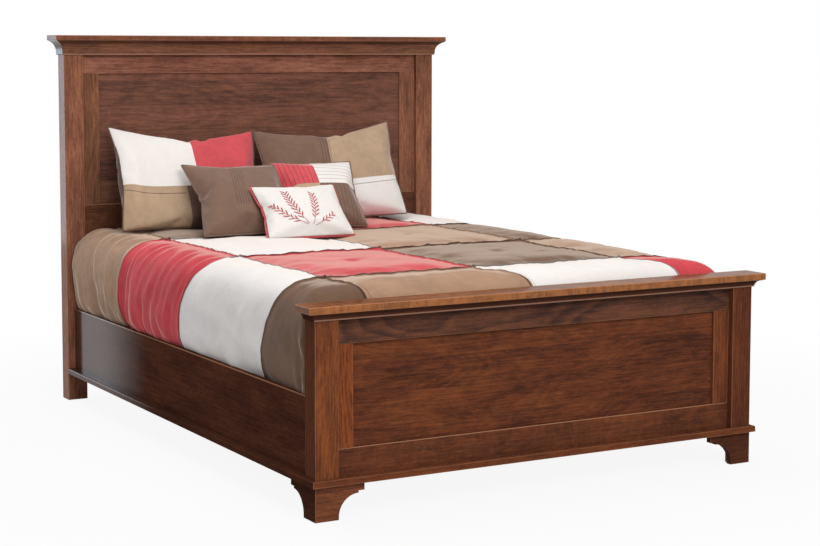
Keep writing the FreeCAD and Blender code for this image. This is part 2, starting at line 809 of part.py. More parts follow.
def build_comforter():
    """Draped solid over the mattress, with shallow channels along the sewn seams.

    Each station across the bed has its y, how far its top has fallen towards the foot, how much of
    the full bulge its sides have, and the share of the shoulder's radius.
    """
    foot = size("foot_back + soft_gap")
    head = size("mattress_head") - 4
    top, bulge = size("comforter_top"), size("comforter_bulge")
    shoulder, drop = size("comforter_shoulder"), size("comforter_foot_drop")
    stations = [
        (head, 0, 1.0, 1.15),
        (head - 420, 0, 1.0, 1.15),
        (head - 1100, 0, 0.6, 1.05),
        (foot + 240, 0, 0.25, 0.8),
        (foot + 110, 0.05, 0.2, 0.6),
        (foot + 40, 0.25, 0.1, 0.5),
        (foot, 0.9, 0.05, 0.4),
    ]
    sections = [
        comforter_section(y, top - drop * fall, bulge * out, shoulder * turn)
        for y, fall, out, turn in stations
    ]
    outer = Part.makeLoft(sections, True, True)
    gap = size("soft_gap")
    half = size("mattress_width") / 2 + gap
    start = size("mattress_head - mattress_length") - gap
    corner = FreeCAD.Vector(-half, start, 0)
    core = Part.makeBox(2 * half, size("mattress_length") + 50, size("mattress_top") + gap, corner)
    uprights = [e for e in core.Edges if e.BoundBox.ZLength > 1 and e.CenterOfMass.y < start + 1]
    core = core.makeFillet(size("mattress_corner"), uprights)
    upper = size("mattress_top")
    rim = [e for e in core.Edges if e.CenterOfMass.z > upper and e.CenterOfMass.y < head]
    shell = outer.cut(core.makeChamfer(size("mattress_edge"), rim))
    wide, deep, patch = size("seam_width"), size("seam_depth"), size("patch")
    across, along = size("seam_across"), size("seam_along")
    channels = []
    for index in range(3):
        y = across + (index - 1) * patch
        channels.append(channel(FreeCAD.Vector(-900, y, top), FreeCAD.Vector(900, y, top), wide, deep))
        x = along + (index - 1) * size("patch_width")
        channels.append(channel(FreeCAD.Vector(x, foot + 120, top), FreeCAD.Vector(x, head, top), wide, deep))
    for groove in channels:
        shell = shell.cut(groove)
    soft_part("comforter", shell)


def channel(start, end, wide, deep):
    """Prism with a V section that cuts a seam's valley into the top."""
    along = (end - start).normalize()
    across = FreeCAD.Vector(-along.y, along.x, 0) * (wide / 2)
    up = FreeCAD.Vector(0, 0, wide)
    bottom = start - FreeCAD.Vector(0, 0, deep - size("comforter_crown") / 2)
    rim = FreeCAD.Vector(0, 0, deep)
    corners = [bottom, bottom + across + rim, bottom + across + up, bottom - across + up, bottom - across + rim]
    return Part.Face(closed_wire(corners)).extrude(end - start)


def skin(sections):
    """Solid of flat triangles through closed outlines that have equal numbers of points."""
    faces = [Part.Face(closed_wire(sections[0])), Part.Face(closed_wire(sections[-1]))]
    for near, far in zip(sections, sections[1:]):
        for index in range(len(near)):
            a, b, c, d = near[index - 1], near[index], far[index], far[index - 1]
            faces += [Part.Face(closed_wire([a, b, c])), Part.Face(closed_wire([a, c, d]))]
    shell = Part.makeShell(faces)
    shell.sewShape()
    solid = Part.makeSolid(shell)
    return solid if solid.Volume > 0 else solid.reversed()


def pillow_shape(width, height, thick):
    """Stuffed cushion: a lens in section, full in the middle, its edges drawn in between corners."""
    edge = size("pillow_edge") / 2
    stations, steps = 11, 10
    back, front = AXIS_Y * edge, AXIS_Y * -edge
    sections = []
    for index in range(stations):
        turn = math.pi * index / (stations - 1)
        x = -math.cos(turn) * width / 2
        half = height / 2 * (1 - size("pillow_draw_in") * math.sin(turn))
        bulge = AXIS_Y * (1.5 + (thick / 2 - edge - 1.5) * math.sin(turn) ** 0.7)
        low, high = FreeCAD.Vector(x, 0, height / 2 - half), FreeCAD.Vector(x, 0, height / 2 + half)
        sections.append(
            [
                *arc_points(low + front, high + front, -bulge, steps),
                high + front,
                *arc_points(high + back, low + back, bulge, steps),
                low + back,
            ]
        )
    return skin(sections)


PILLOWS = [
    # label, width, height, thickness, middle of the bottom edge (x, y, z), lean back, turn, roll
    ("left_sham", "sham_width", "sham_height", "sham_thick", (-380, 800, 705), 32, 0, 2.5),
    ("right_sham", "sham_width", "sham_height", "sham_thick", (309, 803, 703), 31, 0, -2),
    ("brown_pillow", "square_width", "square_height", "square_thick", (-288, 462, 690), 52.6, -5, 0),
    ("pleated_pillow", "square_width", "square_height", "pleated_thick", (104, 560, 690), 50, -5, 0),
    ("embroidered_pillow", "small_width", "small_height", "small_thick", (-129, 262, 689), 56, -8, 0),
]


def build_pillows():
    for label, width, height, thick, bottom, lean, turn, roll in PILLOWS:
        stand = FreeCAD.Rotation(AXIS_Z, turn)
        tilt = FreeCAD.Rotation(AXIS_X, -lean)
        spin = FreeCAD.Rotation(AXIS_Y, roll)
        placement = FreeCAD.Placement(FreeCAD.Vector(*bottom), stand.multiply(tilt).multiply(spin))
        soft_part(label, pillow_shape(size(width), size(height), size(thick)), placement)


# ---------------------------------------------------------------- assembly


build_posts()
build_frames()
crown_and_cap("head")
crown_and_cap("foot")
mitred_set("base_moulding", "foot", base_outline("0"), "base_reach", "base_bottom", "base_height")
for side, name in ((LEFT, "left"), (RIGHT, "right")):
    bracket_foot(side, name)
    side_rail(side, name)
corners = [(side, board) for side in (LEFT, RIGHT) for board in ("head", "foot")]
group("rail_hooks", [hook_plate(side, board) for side, board in corners])
group("keeper_plates", [keeper_plate(side, board) for side, board in corners])
build_deck()
rounded_block("box_spring", "slat_top", "spring_top", "mattress_edge / 2")
rounded_block("mattress", "spring_top", "mattress_top", "mattress_edge")
build_comforter()
build_pillows()
doc.recompute()

for thing in doc.Objects:
    if {"Invalid", "Error"} & set(thing.State):
        raise RuntimeError(f"{thing.Label} failed: {thing.State}")
for piece in parts:
    if piece.Shape.isNull() or not piece.Shape.isValid():
        raise RuntimeError(f"{piece.Label} has no valid shape")

os.makedirs("parts", exist_ok=True)
for piece in parts:
    piece.Shape.exportStep(f"parts/{piece.Label}.step")
print(len(parts), "sub-parts written")
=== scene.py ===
import math

import bmesh
import bpy
from mathutils import Matrix, Vector, noise


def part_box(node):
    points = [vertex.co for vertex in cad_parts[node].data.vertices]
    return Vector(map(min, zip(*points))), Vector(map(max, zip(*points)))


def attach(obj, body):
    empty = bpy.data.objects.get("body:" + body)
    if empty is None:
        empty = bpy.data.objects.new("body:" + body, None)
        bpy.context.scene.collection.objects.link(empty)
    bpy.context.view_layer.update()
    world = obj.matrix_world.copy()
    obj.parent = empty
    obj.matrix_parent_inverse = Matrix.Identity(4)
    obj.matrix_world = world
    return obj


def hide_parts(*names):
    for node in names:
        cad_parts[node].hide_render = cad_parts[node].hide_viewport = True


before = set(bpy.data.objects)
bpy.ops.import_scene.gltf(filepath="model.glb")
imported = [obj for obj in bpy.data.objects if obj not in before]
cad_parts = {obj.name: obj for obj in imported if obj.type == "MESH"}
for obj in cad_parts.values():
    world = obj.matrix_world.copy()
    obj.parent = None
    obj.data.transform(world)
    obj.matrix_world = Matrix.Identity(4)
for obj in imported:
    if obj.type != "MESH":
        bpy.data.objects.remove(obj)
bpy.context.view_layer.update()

# How far the comforter's cloth reaches, in metres. The headboard is towards +Y, the photograph's side is -X.
QUILT_HEAD, QUILT_FOOT = 1.036, -1.024


# ---------------------------------------------------------------- shader helpers


def add_node(tree, kind, inputs=None, **settings):
    """Shader node of a kind. Each input is a link from another node or a plain value."""
    made = tree.nodes.new("ShaderNode" + kind)
    for key, value in settings.items():
        setattr(made, key, value)
    for key, value in (inputs or {}).items():
        if isinstance(value, bpy.types.NodeSocket):
            tree.links.new(value, made.inputs[key])
        else:
            made.inputs[key].default_value = value
    return made


def calc(tree, operation, a, b=0.0):
    return add_node(tree, "Math", {0: a, 1: b}, operation=operation).outputs[0]


def times(tree, first, *others):
    for other in others:
        first = calc(tree, "MULTIPLY", first, other)
    return first


def plus(tree, first, *others):
    for other in others:
        first = calc(tree, "ADD", first, other)
    return first


def larger(tree, first, *others):
    for other in others:
        first = calc(tree, "MAXIMUM", first, other)
    return first


def minus(tree, a, b):
    return calc(tree, "SUBTRACT", a, b)


def more(tree, value, limit):
    """One where the value is above the limit, nothing elsewhere."""
    return calc(tree, "GREATER_THAN", value, limit)


def less(tree, value, limit):
    return calc(tree, "LESS_THAN", value, limit)


def gap_from(tree, value, middle):
    return calc(tree, "ABSOLUTE", minus(tree, value, middle))


def vector_calc(tree, operation, a, b):
    return add_node(tree, "VectorMath", {0: a, 1: b}, operation=operation).outputs[0]


def split(tree, vector):
    return add_node(tree, "SeparateXYZ", {0: vector}).outputs


def join(tree, x=0.0, y=0.0, z=0.0):
    return add_node(tree, "CombineXYZ", {0: x, 1: y, 2: z}).outputs[0]


def on_object(tree):
    """Place on the bed, from the object's own coordinates."""
    return add_node(tree, "TexCoord").outputs["Object"]


def stretch(tree, vector, scale, offset=(0, 0, 0)):
    """Vector scaled along its own axes, for a pattern that is longer one way."""
    inputs = {"Vector": vector, "Scale": scale, "Location": offset}
    return add_node(tree, "Mapping", inputs).outputs[0]


def speckle(tree, vector, scale, detail=2.0, roughness=0.5, distortion=0.0):
    inputs = {"Vector": vector, "Scale": scale, "Detail": detail, "Roughness": roughness, "Distortion": distortion}
    return add_node(tree, "TexNoise", inputs).outputs["Fac"]


def between(tree, value, low, high, to_low=0.0, to_high=1.0):
    """Smooth step of a value from one range to another."""
    inputs = {"Value": value, "From Min": low, "From Max": high, "To Min": to_low, "To Max": to_high}
    return add_node(tree, "MapRange", inputs, interpolation_type="SMOOTHSTEP").outputs[0]


def between_lines(tree, value, low, high):
    return times(tree, more(tree, value, low), less(tree, value, high))


def blend_colour(tree, factor, first, second, mode="MIX"):
    inputs = {0: factor, 6: first, 7: second}
    return add_node(tree, "Mix", inputs, data_type="RGBA", blend_type=mode).outputs[2]


def tone(hex_colour):
    """Linear colour from a six-digit sRGB one."""
    parts = [int(hex_colour[i : i + 2], 16) / 255 for i in (0, 2, 4)]
    linear = [p / 12.92 if p <= 0.04045 else ((p + 0.055) / 1.055) ** 2.4 for p in parts]
    return (*linear, 1.0)


def ramp(tree, factor, *stops):
    made = add_node(tree, "ValToRGB", {"Fac": factor})
    elements = made.color_ramp.elements
    while len(elements) < len(stops):
        elements.new(0.5)
    for element, (position, colour) in zip(elements, stops):
        element.position = position
        element.color = colour
    return made.outputs[0]


def new_group(name, inputs, outputs):
    tree = bpy.data.node_groups.new(name, "ShaderNodeTree")
    for socket, kind in inputs:
        tree.interface.new_socket(socket, in_out="INPUT", socket_type="NodeSocket" + kind)
    for socket, kind in outputs:
        tree.interface.new_socket(socket, in_out="OUTPUT", socket_type="NodeSocket" + kind)
    return tree, tree.nodes.new("NodeGroupInput").outputs, tree.nodes.new("NodeGroupOutput")


def use_group(tree, group, inputs):
    return add_node(tree, "Group", inputs, node_tree=group).outputs


def feed(tree, node, **sockets):
    """Link values to a node's inputs of the same names, as a shader's or a group's results."""
    for name, socket in sockets.items():
        tree.links.new(socket, node.inputs[name.replace("_", " ")])


def new_material(name, **values):
    """Material with a plain Principled BSDF whose constant sockets are set from the keywords."""
    material = bpy.data.materials.new(name)
    material.use_nodes = True
    shader = material.node_tree.nodes["Principled BSDF"]
    for key, value in values.items():
        shader.inputs[key.replace("_", " ")].default_value = value
    return material, material.node_tree, shader


def bump(tree, shader, height, distance, strength=1.0):
    made = add_node(tree, "Bump", {"Height": height, "Distance": distance, "Strength": strength})
    feed(tree, shader, Normal=made.outputs[0])


# ---------------------------------------------------------------- wood


def build_grain_group():
    """Stained close-grained hardwood. The vector runs along the grain, across it and through it."""
    tree, given, out = new_group(
        "hardwood grain",
        [("Vector", "Vector"), ("Ring Width", "Float")],
        [(name, "Float") for name in ("Figure", "Fibre", "Mottle", "Blotch", "Fleck", "Curl")],
    )
    vector = given["Vector"]

    def drawn_out(scale, offset, detail, roughness=0.5, distortion=0.0):
        return speckle(tree, stretch(tree, vector, scale, offset), 1.0, detail, roughness, distortion)

    sway = drawn_out((0.9, 3.0, 3.0), (0, 0, 0), 2.0)
    wander = drawn_out((4.0, 26.0, 26.0), (3.1, 0.7, 0.2), 2.0)
    axes = split(tree, vector)
    bend = between(tree, sway, 0.3, 0.7, -0.035, 0.035)
    ripple = between(tree, wander, 0.3, 0.7, -0.004, 0.004)
    heart = join(tree, y=plus(tree, axes[1], ripple), z=plus(tree, axes[2], bend, 0.03))
    radius = add_node(tree, "VectorMath", {0: heart}, operation="LENGTH").outputs["Value"]
    rings = calc(tree, "FRACT", calc(tree, "DIVIDE", radius, given["Ring Width"]))
    fibre = drawn_out((7.0, 190.0, 190.0), (0, 0, 0), 4.0, 0.68)
    broad = drawn_out((3.2, 10.0, 10.0), (0.3, 2.0, 5.0), 4.0, 0.6, 0.5)
    close = drawn_out((26.0, 70.0, 70.0), (4.0, 1.0, 2.0), 5.0, 0.7, 0.8)
    pores = drawn_out((75.0, 820.0, 820.0), (1.0, 3.0, 0.0), 1.0)
    bars = drawn_out((52.0, 17.0, 17.0), (2.0, 5.0, 1.0), 4.0, 0.65, 0.8)
    feed(
        tree, out,
        Figure=calc(tree, "MINIMUM", between(tree, rings, 0.0, 0.75), between(tree, rings, 0.8, 1.0, 1.0, 0.0)),
        Fibre=between(tree, fibre, 0.34, 0.66),
        Mottle=between(tree, broad, 0.32, 0.68),
        Blotch=between(tree, close, 0.34, 0.66),
        Fleck=between(tree, pores, 0.58, 0.7),
        Curl=between(tree, bars, 0.3, 0.7),
    )
    return tree


def build_board_group():
    """Edge-glued boards across a panel: shifts the grain and the shade at every joint."""
    tree, given, out = new_group(
        "glued boards",
        [("Vector", "Vector"), ("Board Width", "Float")],
        [("Vector", "Vector"), ("Shade", "Float"), ("Joint", "Float")],
    )
    axes = split(tree, given["Vector"])
    steps = calc(tree, "DIVIDE", axes[1], given["Board Width"])
    chance = add_node(tree, "TexWhiteNoise", {"W": calc(tree, "FLOOR", steps)}, noise_dimensions="1D").outputs
    part = calc(tree, "FRACT", steps)
    jump = add_node(tree, "VectorMath", {0: chance["Color"], "Scale": 3.0}, operation="SCALE").outputs[0]
    local = join(tree, axes[0], times(tree, minus(tree, part, 0.5), given["Board Width"]), axes[2])
    shifted = vector_calc(tree, "ADD", local, vector_calc(tree, "MULTIPLY", jump, (1.0, 0.03, 0.03)))
    joint = between(tree, gap_from(tree, part, 0.5), 0.488, 0.5)
    feed(tree, out, Vector=shifted, Shade=chance["Value"], Joint=joint)
    return tree


def build_edge_group():
    """Mask along the edges of a squared board, between the corners Low and High of its box, where the painted
    highlight goes.
    """
    tree, given, out = new_group(
        "painted edge highlight",
        [("Vector", "Vector"), ("Low", "Vector"), ("High", "Vector"), ("Width", "Float")],
        [("Mask", "Float")],
    )
    above = vector_calc(tree, "SUBTRACT", given["Vector"], given["Low"])
    below = vector_calc(tree, "SUBTRACT", given["High"], given["Vector"])
    x, y, z = split(tree, vector_calc(tree, "MINIMUM", above, below))
    nearer, farther = calc(tree, "MINIMUM", x, y), calc(tree, "MAXIMUM", x, y)
    second = calc(tree, "MAXIMUM", nearer, calc(tree, "MINIMUM", farther, z))
    share = calc(tree, "DIVIDE", second, given["Width"])
    feed(tree, out, Mask=between(tree, share, 0.4, 1.0, 1.0, 0.0))
    return tree


GRAIN = build_grain_group()
BOARDS = build_board_group()
EDGES = build_edge_group()
# Which of the object's axes run along, across and through the grain of a board.
GRAIN_ORDER = {"X": (0, 2, 1), "Y": (1, 2, 0), "Z": (2, 0, 1), "top": (0, 1, 2), "end": (1, 0, 2)}
BOARD_WIDTH = 0.098
FLECK_TONE, JOINT_TONE, EDGE_HIGHLIGHT_TONE, LACQUER_TONE = (tone(c) for c in ("1c0c08", "180a07", "b98a68", "7a6a62"))


def wood_place(tree, axes, grain, place):
    """Place in the wood: the board's axes in grain order, moved so that no two boards match."""
    along, across, through = GRAIN_ORDER[grain]
    return vector_calc(tree, "ADD", join(tree, axes[along], axes[across], axes[through]), place)


def stained_wood(
    name, grain, place, dark, light, figure=0.12, ring=0.009, board=0.0, gloss=0.4, coat=0.05, curl=0.0,
    edge=None, polish=None, lines=(),
):
    """Satin-lacquered, stained wood. grain names the way its fibres run; place moves the pattern.

    edge is the node whose edges get a painted highlight (partly the paler stain of sanded edges), the width of that
    line and how strong it is.
    polish is the axis, and where along it the gloss starts and is full; with it the coat gets a bluish tint, a
    painted tint of reflection. Each of lines is a strip of another tone, painted shade or a painted highlight: its
    axis, where it starts and ends, its strength and its colour.
    """
    # Where polish places the coat, it is tinted bluish: a painted tint standing for a bluish reflection.
    reflection_tint = (0.86, 0.94, 1.0, 1.0) if polish else (1.0, 1.0, 1.0, 1.0)
    lacquer = dict(Coat_Weight=coat, Coat_Roughness=0.14, Coat_IOR=1.45, Coat_Tint=reflection_tint)
    material, tree, shader = new_material(name, Specular_IOR_Level=0.0, **lacquer)
    position = on_object(tree)
    axes = split(tree, position)
    moved = wood_place(tree, axes, grain, place)
    if board:
        glued = use_group(tree, BOARDS, {"Vector": moved, "Board Width": board})
        moved = glued["Vector"]
    parts = use_group(tree, GRAIN, {"Vector": moved, "Ring Width": ring})
    value = times(tree, parts["Mottle"], 0.32 - 0.08 * curl)
    value = plus(tree, value, times(tree, parts["Blotch"], 0.22))
    value = plus(tree, value, times(tree, parts["Fibre"], 0.34 - 0.14 * curl))
    if curl:
        value = plus(tree, value, times(tree, parts["Curl"], 0.3 * curl))
    rings = times(tree, minus(tree, parts["Figure"], 0.5), figure)
    value = plus(tree, value, plus(tree, rings, 0.07 - 0.04 * curl))
    if board:
        value = plus(tree, value, between(tree, glued["Shade"], 0.0, 1.0, -0.06, 0.06))
    middle = tuple((a * 0.55 + b * 0.45) for a, b in zip(tone(dark), tone(light)))
    colour = ramp(tree, value, (0.12, tone(dark)), (0.5, middle), (0.9, tone(light)))
    colour = blend_colour(tree, times(tree, parts["Fleck"], 0.35), colour, FLECK_TONE)
    if board:
        colour = blend_colour(tree, times(tree, glued["Joint"], 0.3), colour, JOINT_TONE)
    # Painted highlight along the edges, partly the paler stain where they are sanded.
    if edge:
        node, wide, strength = edge
        low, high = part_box(node)
        corners = {"Vector": position, "Low": tuple(low), "High": tuple(high), "Width": wide}
        eased = use_group(tree, EDGES, corners)["Mask"]
        colour = blend_colour(tree, times(tree, eased, strength), colour, EDGE_HIGHLIGHT_TONE)
    # Each strip is painted shade or a painted highlight.
    for axis, start, end, strength, shade in lines:
        strip = times(tree, between_lines(tree, axes[axis], start, end), strength)
        if curl:
            strip = times(tree, strip, between(tree, parts["Curl"], 0.0, 1.0, 0.45, 1.0))
        colour = blend_colour(tree, strip, colour, tone(shade))
    colour = blend_colour(tree, 0.05, colour, LACQUER_TONE)
    if polish:
        full = between(tree, axes[polish[0]], polish[1], polish[2], 0.0, coat)
        feed(tree, shader, Coat_Weight=full)
    feed(tree, shader, Base_Color=colour)
    rough = between(tree, parts["Fibre"], 0.0, 1.0, gloss - 0.04, gloss + 0.06)
    feed(tree, shader, Roughness=rough)
    bump(tree, shader, minus(tree, parts["Fibre"], times(tree, parts["Fleck"], 0.8)), 0.0003, 0.3)
    return material


def dress(nodes, material):
    for name in nodes:
        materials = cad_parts[name].data.materials
        materials.clear()
        materials.append(material)


def dress_frame():
    """Every wooden node with its own place in the grain, so no two boards match."""
    posts = (
        ("footboard_post_left", "4a2416", "8e4f2b"),
        ("footboard_post_right", "402014", "784128"),
        ("headboard_post_left", "5f3b2f", "a96f54"),
        ("headboard_post_right", "5e392b", "ac7156"),
    )
    for index, (name, dark, light) in enumerate(posts):
        place = (0.7 * index, 0.05 * index, 0.3 * index)
        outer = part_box(name)[0][0]
        polish = (0, outer + 0.001, outer + 0.0002) if name == "headboard_post_left" else None
        coat = 0.33 if polish else 0.03
        # Painted shade on the outer left face of the left foot post.
        lines = ((0, outer - 0.001, outer + 0.0005, 0.6, "2a140c"),) if name == "footboard_post_left" else ()
        finish = dict(coat=coat, edge=(name, 0.003, 0.25), polish=polish, lines=lines)
        dress([name], stained_wood(f"stain {name}", "Z", place, dark, light, **finish))
    stiles = (
        ("headboard_stile_left", "5a3a2c", "9a684a", 0.12),
        ("headboard_stile_right", "5c3a2d", "a56f54", 0.12),
        ("footboard_stile_left", "4c2415", "9a5229", 0.22),
        ("footboard_stile_right", "402014", "824726", 0.22),
    )
    for index, (name, dark, light, figure) in enumerate(stiles):
        place = (1.3 + 0.9 * index, 0.02, 0.11 * index)
        wood = stained_wood(f"stain {name}", "Z", place, dark, light, figure, edge=(name, 0.003, 0.25))
        dress([name], wood)
    rails = (
        ("headboard_top_rail", "663f31", "b07660", 0.1, (0.4, -1.36, 0.1)),
        ("headboard_bottom_rail", "45281d", "7d4c36", 0.1, (2.2, -0.68, 0.1)),
        ("headboard_stretcher", "3a1e17", "6b3925", 0.1, (5.2, -0.27, 0.1)),
        ("footboard_top_rail", "372420", "6c422f", 0.4, (0.9, -0.575, 0.0)),
        ("footboard_bottom_rail", "3f2116", "7a4326", 0.1, (3.1, -0.15, 0.1)),
        ("headboard_crown_front", "54362c", "95644b", 0.1, (1.9, -1.39, 0.1)),
        ("footboard_crown_front", "391d14", "643622", 0.1, (6.1, -0.61, 0.1)),
        ("base_moulding_front", "482415", "7f4526", 0.1, (4.4, -0.11, 0.1)),
        ("headboard_crown_backer", "3f2118", "703d27", 0.1, (7.9, -1.39, 0.1)),
        ("footboard_crown_backer", "3f2118", "703d27", 0.1, (8.6, -0.61, 0.1)),
        ("foot_front_left", "4c2b1d", "8c5132", 0.1, (2.7, -0.05, 0.1)),
        ("foot_front_right", "351a10", "5f3220", 0.1, (5.7, -0.05, 0.1)),
    )
    for name, dark, light, figure, place in rails:
        lower = name.endswith("board_bottom_rail")
        # The bottom rails get a wider, stronger painted edge highlight.
        edge = (name, 0.0034, 0.6) if lower else (name, 0.003, 0.25)
        bottom, top = (corner[2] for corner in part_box(name))
        lines = ()
        if "crown_front" in name:
            # Painted shadow under the cap along the crown's top, and a painted highlight along its lower bead.
            shadow = (2, top - 0.014, top + 0.001, 0.4, "22110c")
            lines = (shadow, (2, bottom - 0.001, bottom + 0.005, 0.5, "c79a84"))
        finish = dict(curl=0.5 * lower, edge=edge, lines=lines)
        dress([name], stained_wood(f"stain {name}", "X", place, dark, light, figure, **finish))
    for name, place, dark, light in (
        ("headboard_cap", (0.3, 0.9, 0.0), "54301f", "93583a"),
        ("footboard_cap", (2.9, 0.95, 0.1), "4f2917", "8c5029"),
    ):
        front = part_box(name)[0][1]
        # Painted highlight along the foot cap's front edge, broken up by the curl figure.
        lines = ((1, front - 0.001, front + 0.004, 0.42, "c07c42"),) if name == "footboard_cap" else ()
        finish = dict(gloss=0.28, coat=0.4, curl=1.0, edge=(name, 0.003, 0.35), lines=lines)
        dress([name], stained_wood(f"stain {name}", "top", place, dark, light, 0.15, **finish))
    for name, place, dark, light in (
        ("footboard_panel", (0.0, -0.26, 0.0), "3a1c13", "7b4224"),
        ("headboard_panel", (4.0, -0.77, 0.0), "503530", "8f5f4b"),
    ):
        dress([name], stained_wood(f"stain {name}", "X", place, dark, light, ring=0.008, board=BOARD_WIDTH))
    for index, side in enumerate(("left", "right")):
        place = (0.6 + 2.3 * index, -0.2, 0.8)
        rail = f"side_rail_{side}"
        shine = dict(figure=0.1, polish=(1, 0.25, 0.8))
        finish = dict(gloss=0.36, coat=0.8, edge=(rail, 0.004, 0.45), **shine)
        dress([rail], stained_wood(f"stain {rail}", "Y", place, "30170f", "58301f", **finish))
        stems = ("rail_moulding", "base_moulding", "headboard_crown", "footboard_crown", "foot_side")
        shine["polish"] = (1, 0.05, 0.75)
        trim = stained_wood(f"stain trim_{side}", "Y", place, "2b140d", "502b1a", coat=0.6, **shine)
        dress([f"{stem}_{side}" for stem in stems], trim)


def plain_wood(name, grain, place):
    material, tree, shader = new_material(name, Roughness=0.62)
    moved = wood_place(tree, split(tree, on_object(tree)), grain, place)
    parts = use_group(tree, GRAIN, {"Vector": moved, "Ring Width": 0.013})
    value = plus(tree, times(tree, parts["Fibre"], 0.5), times(tree, parts["Figure"], 0.4))
    colour = ramp(tree, value, (0.2, tone("9c7550")), (0.75, tone("cda67c")))
    feed(tree, shader, Base_Color=colour)
    bump(tree, shader, parts["Fibre"], 0.0006, 0.4)
    return material


def dress_hidden():
    slats = [f"slat_{i}" for i in range(1, 6)]
    dress(slats, plain_wood("planed slats", "top", (0.2, 0.4, 0.05)))
    dress(["slat_cleat_left", "slat_cleat_right"], plain_wood("planed cleats", "Y", (0.7, 0.2, 0.1)))
    uprights = ["support_leg_1", "support_leg_2", "foot_block_left", "foot_block_right", "slat_pegs"]
    dress(uprights, plain_wood("planed blocks", "Z", (0.1, 0.3, 0.2)))

    zinc, tree, shader = new_material("zinc plate", Metallic=1.0)
    spangle = speckle(tree, on_object(tree), 60.0, 4.0, 0.6)
    feed(tree, shader, Base_Color=ramp(tree, spangle, (0.3, tone("9a9c9e")), (0.7, tone("c3c4c2"))))
    feed(tree, shader, Roughness=between(tree, spangle, 0.3, 0.7, 0.3, 0.48))
    dress(["rail_hooks", "keeper_plates"], zinc)

    nylon, tree, shader = new_material("moulded nylon", Specular_IOR_Level=0.45)
    fine = speckle(tree, on_object(tree), 900.0)
    feed(tree, shader, Base_Color=ramp(tree, fine, (0.3, tone("1e1f21")), (0.7, tone("2c2d30"))))
    feed(tree, shader, Roughness=between(tree, fine, 0.3, 0.7, 0.42, 0.55))
    bump(tree, shader, fine, 0.0002, 0.3)
    dress(["levelling_glide_1", "levelling_glide_2"], nylon)


dress_frame()
dress_hidden()


# ---------------------------------------------------------------- fabric shaders


def build_nap_group():
    """Brushed suede: brushed patches of light and dark nap, with a fine fibre for the bump."""
    tree, given, out = new_group(
        "suede nap", [("Vector", "Vector")], [("Brushed", "Float"), ("Fibre", "Float"), ("Crease", "Float")]
    )
    vector = given["Vector"]
    broad = speckle(tree, vector, 7.0, 4.0, 0.62, 0.6)
    close = speckle(tree, vector, 34.0, 3.0, 0.6)
    feed(
        tree, out,
        Brushed=plus(tree, times(tree, broad, 0.6), times(tree, close, 0.4)),
        Fibre=speckle(tree, vector, 900.0, 2.0, 0.6),
        Crease=speckle(tree, vector, 16.0, 4.0, 0.55, 1.2),
    )
    return tree


def build_weave_group():
    """Plain weave of crossing threads, Count threads to the metre."""
    tree, given, out = new_group(
        "plain weave", [("Vector", "Vector"), ("Count", "Float")], [("Height", "Float"), ("Slub", "Float")]
    )
    axes = split(tree, given["Vector"])
    turn = times(tree, given["Count"], 3.1416)
    warp, weft = (calc(tree, "SINE", times(tree, axes[i], turn)) for i in (0, 1))
    height = add_node(tree, "Math", {0: times(tree, warp, weft), 1: 0.5, 2: 0.5}, operation="MULTIPLY_ADD").outputs[0]
    slub = speckle(tree, stretch(tree, given["Vector"], (40.0, 700.0, 700.0)), 1.0)
    feed(tree, out, Height=height, Slub=slub)
    return tree


def build_tuck_group():
    """Rows of sewn tucks: Position runs across them. The crease is the painted shadow line in the fold of each."""
    tree, given, out = new_group(
        "sewn tucks",
        [("Position", "Float"), ("Start", "Float"), ("Spacing", "Float"), ("Count", "Float"), ("Line", "Float")],
        [("Fold", "Float"), ("Crease", "Float")],
    )
    steps = calc(tree, "DIVIDE", minus(tree, given["Position"], given["Start"]), given["Spacing"])
    inside = times(tree, more(tree, steps, -0.5), less(tree, steps, minus(tree, given["Count"], 0.5)))
    part = calc(tree, "FRACT", plus(tree, steps, 0.5))
    crease = between(tree, times(tree, gap_from(tree, part, 0.5), given["Spacing"]), 0.0, given["Line"], 1.0, 0.0)
    fold = times(tree, between(tree, part, 0.5, 1.45, 1.0, 0.0), more(tree, part, 0.5))
    rise = plus(tree, between(tree, part, 0.42, 0.5), between(tree, part, 0.0, 0.42, 0.45, 0.0))
    fold = plus(tree, fold, times(tree, rise, less(tree, part, 0.5)))
    feed(tree, out, Fold=times(tree, fold, inside), Crease=times(tree, crease, inside))
    return tree


NAP = build_nap_group()
WEAVE = build_weave_group()
TUCKS = build_tuck_group()
TAN, BROWN, RED, WHITE = (tone(c) for c in ("ad9379", "745a4c", "c44a51", "dfdbd7"))
# The comforter's colours are darker copies of the pillows' ones: painted shade, as its sides hang in shade.
QUILT_TAN, QUILT_BROWN, QUILT_RED, QUILT_WHITE = (tone(c) for c in ("9f8069", "69503f", "c0444c", "dedad8"))
DARK_BROWN = tone("59443a")
# Dark tone of the seam lines; the same tone paints shade beside the raised seams and in the folds of tucks.
# The pale tone is a painted sheen, mixed in where the cloth is seen edge-on.
SEAM_AND_SHADOW_TONE, PAINTED_SHEEN_TONE = tone("3a2820"), tone("f3e0d0")


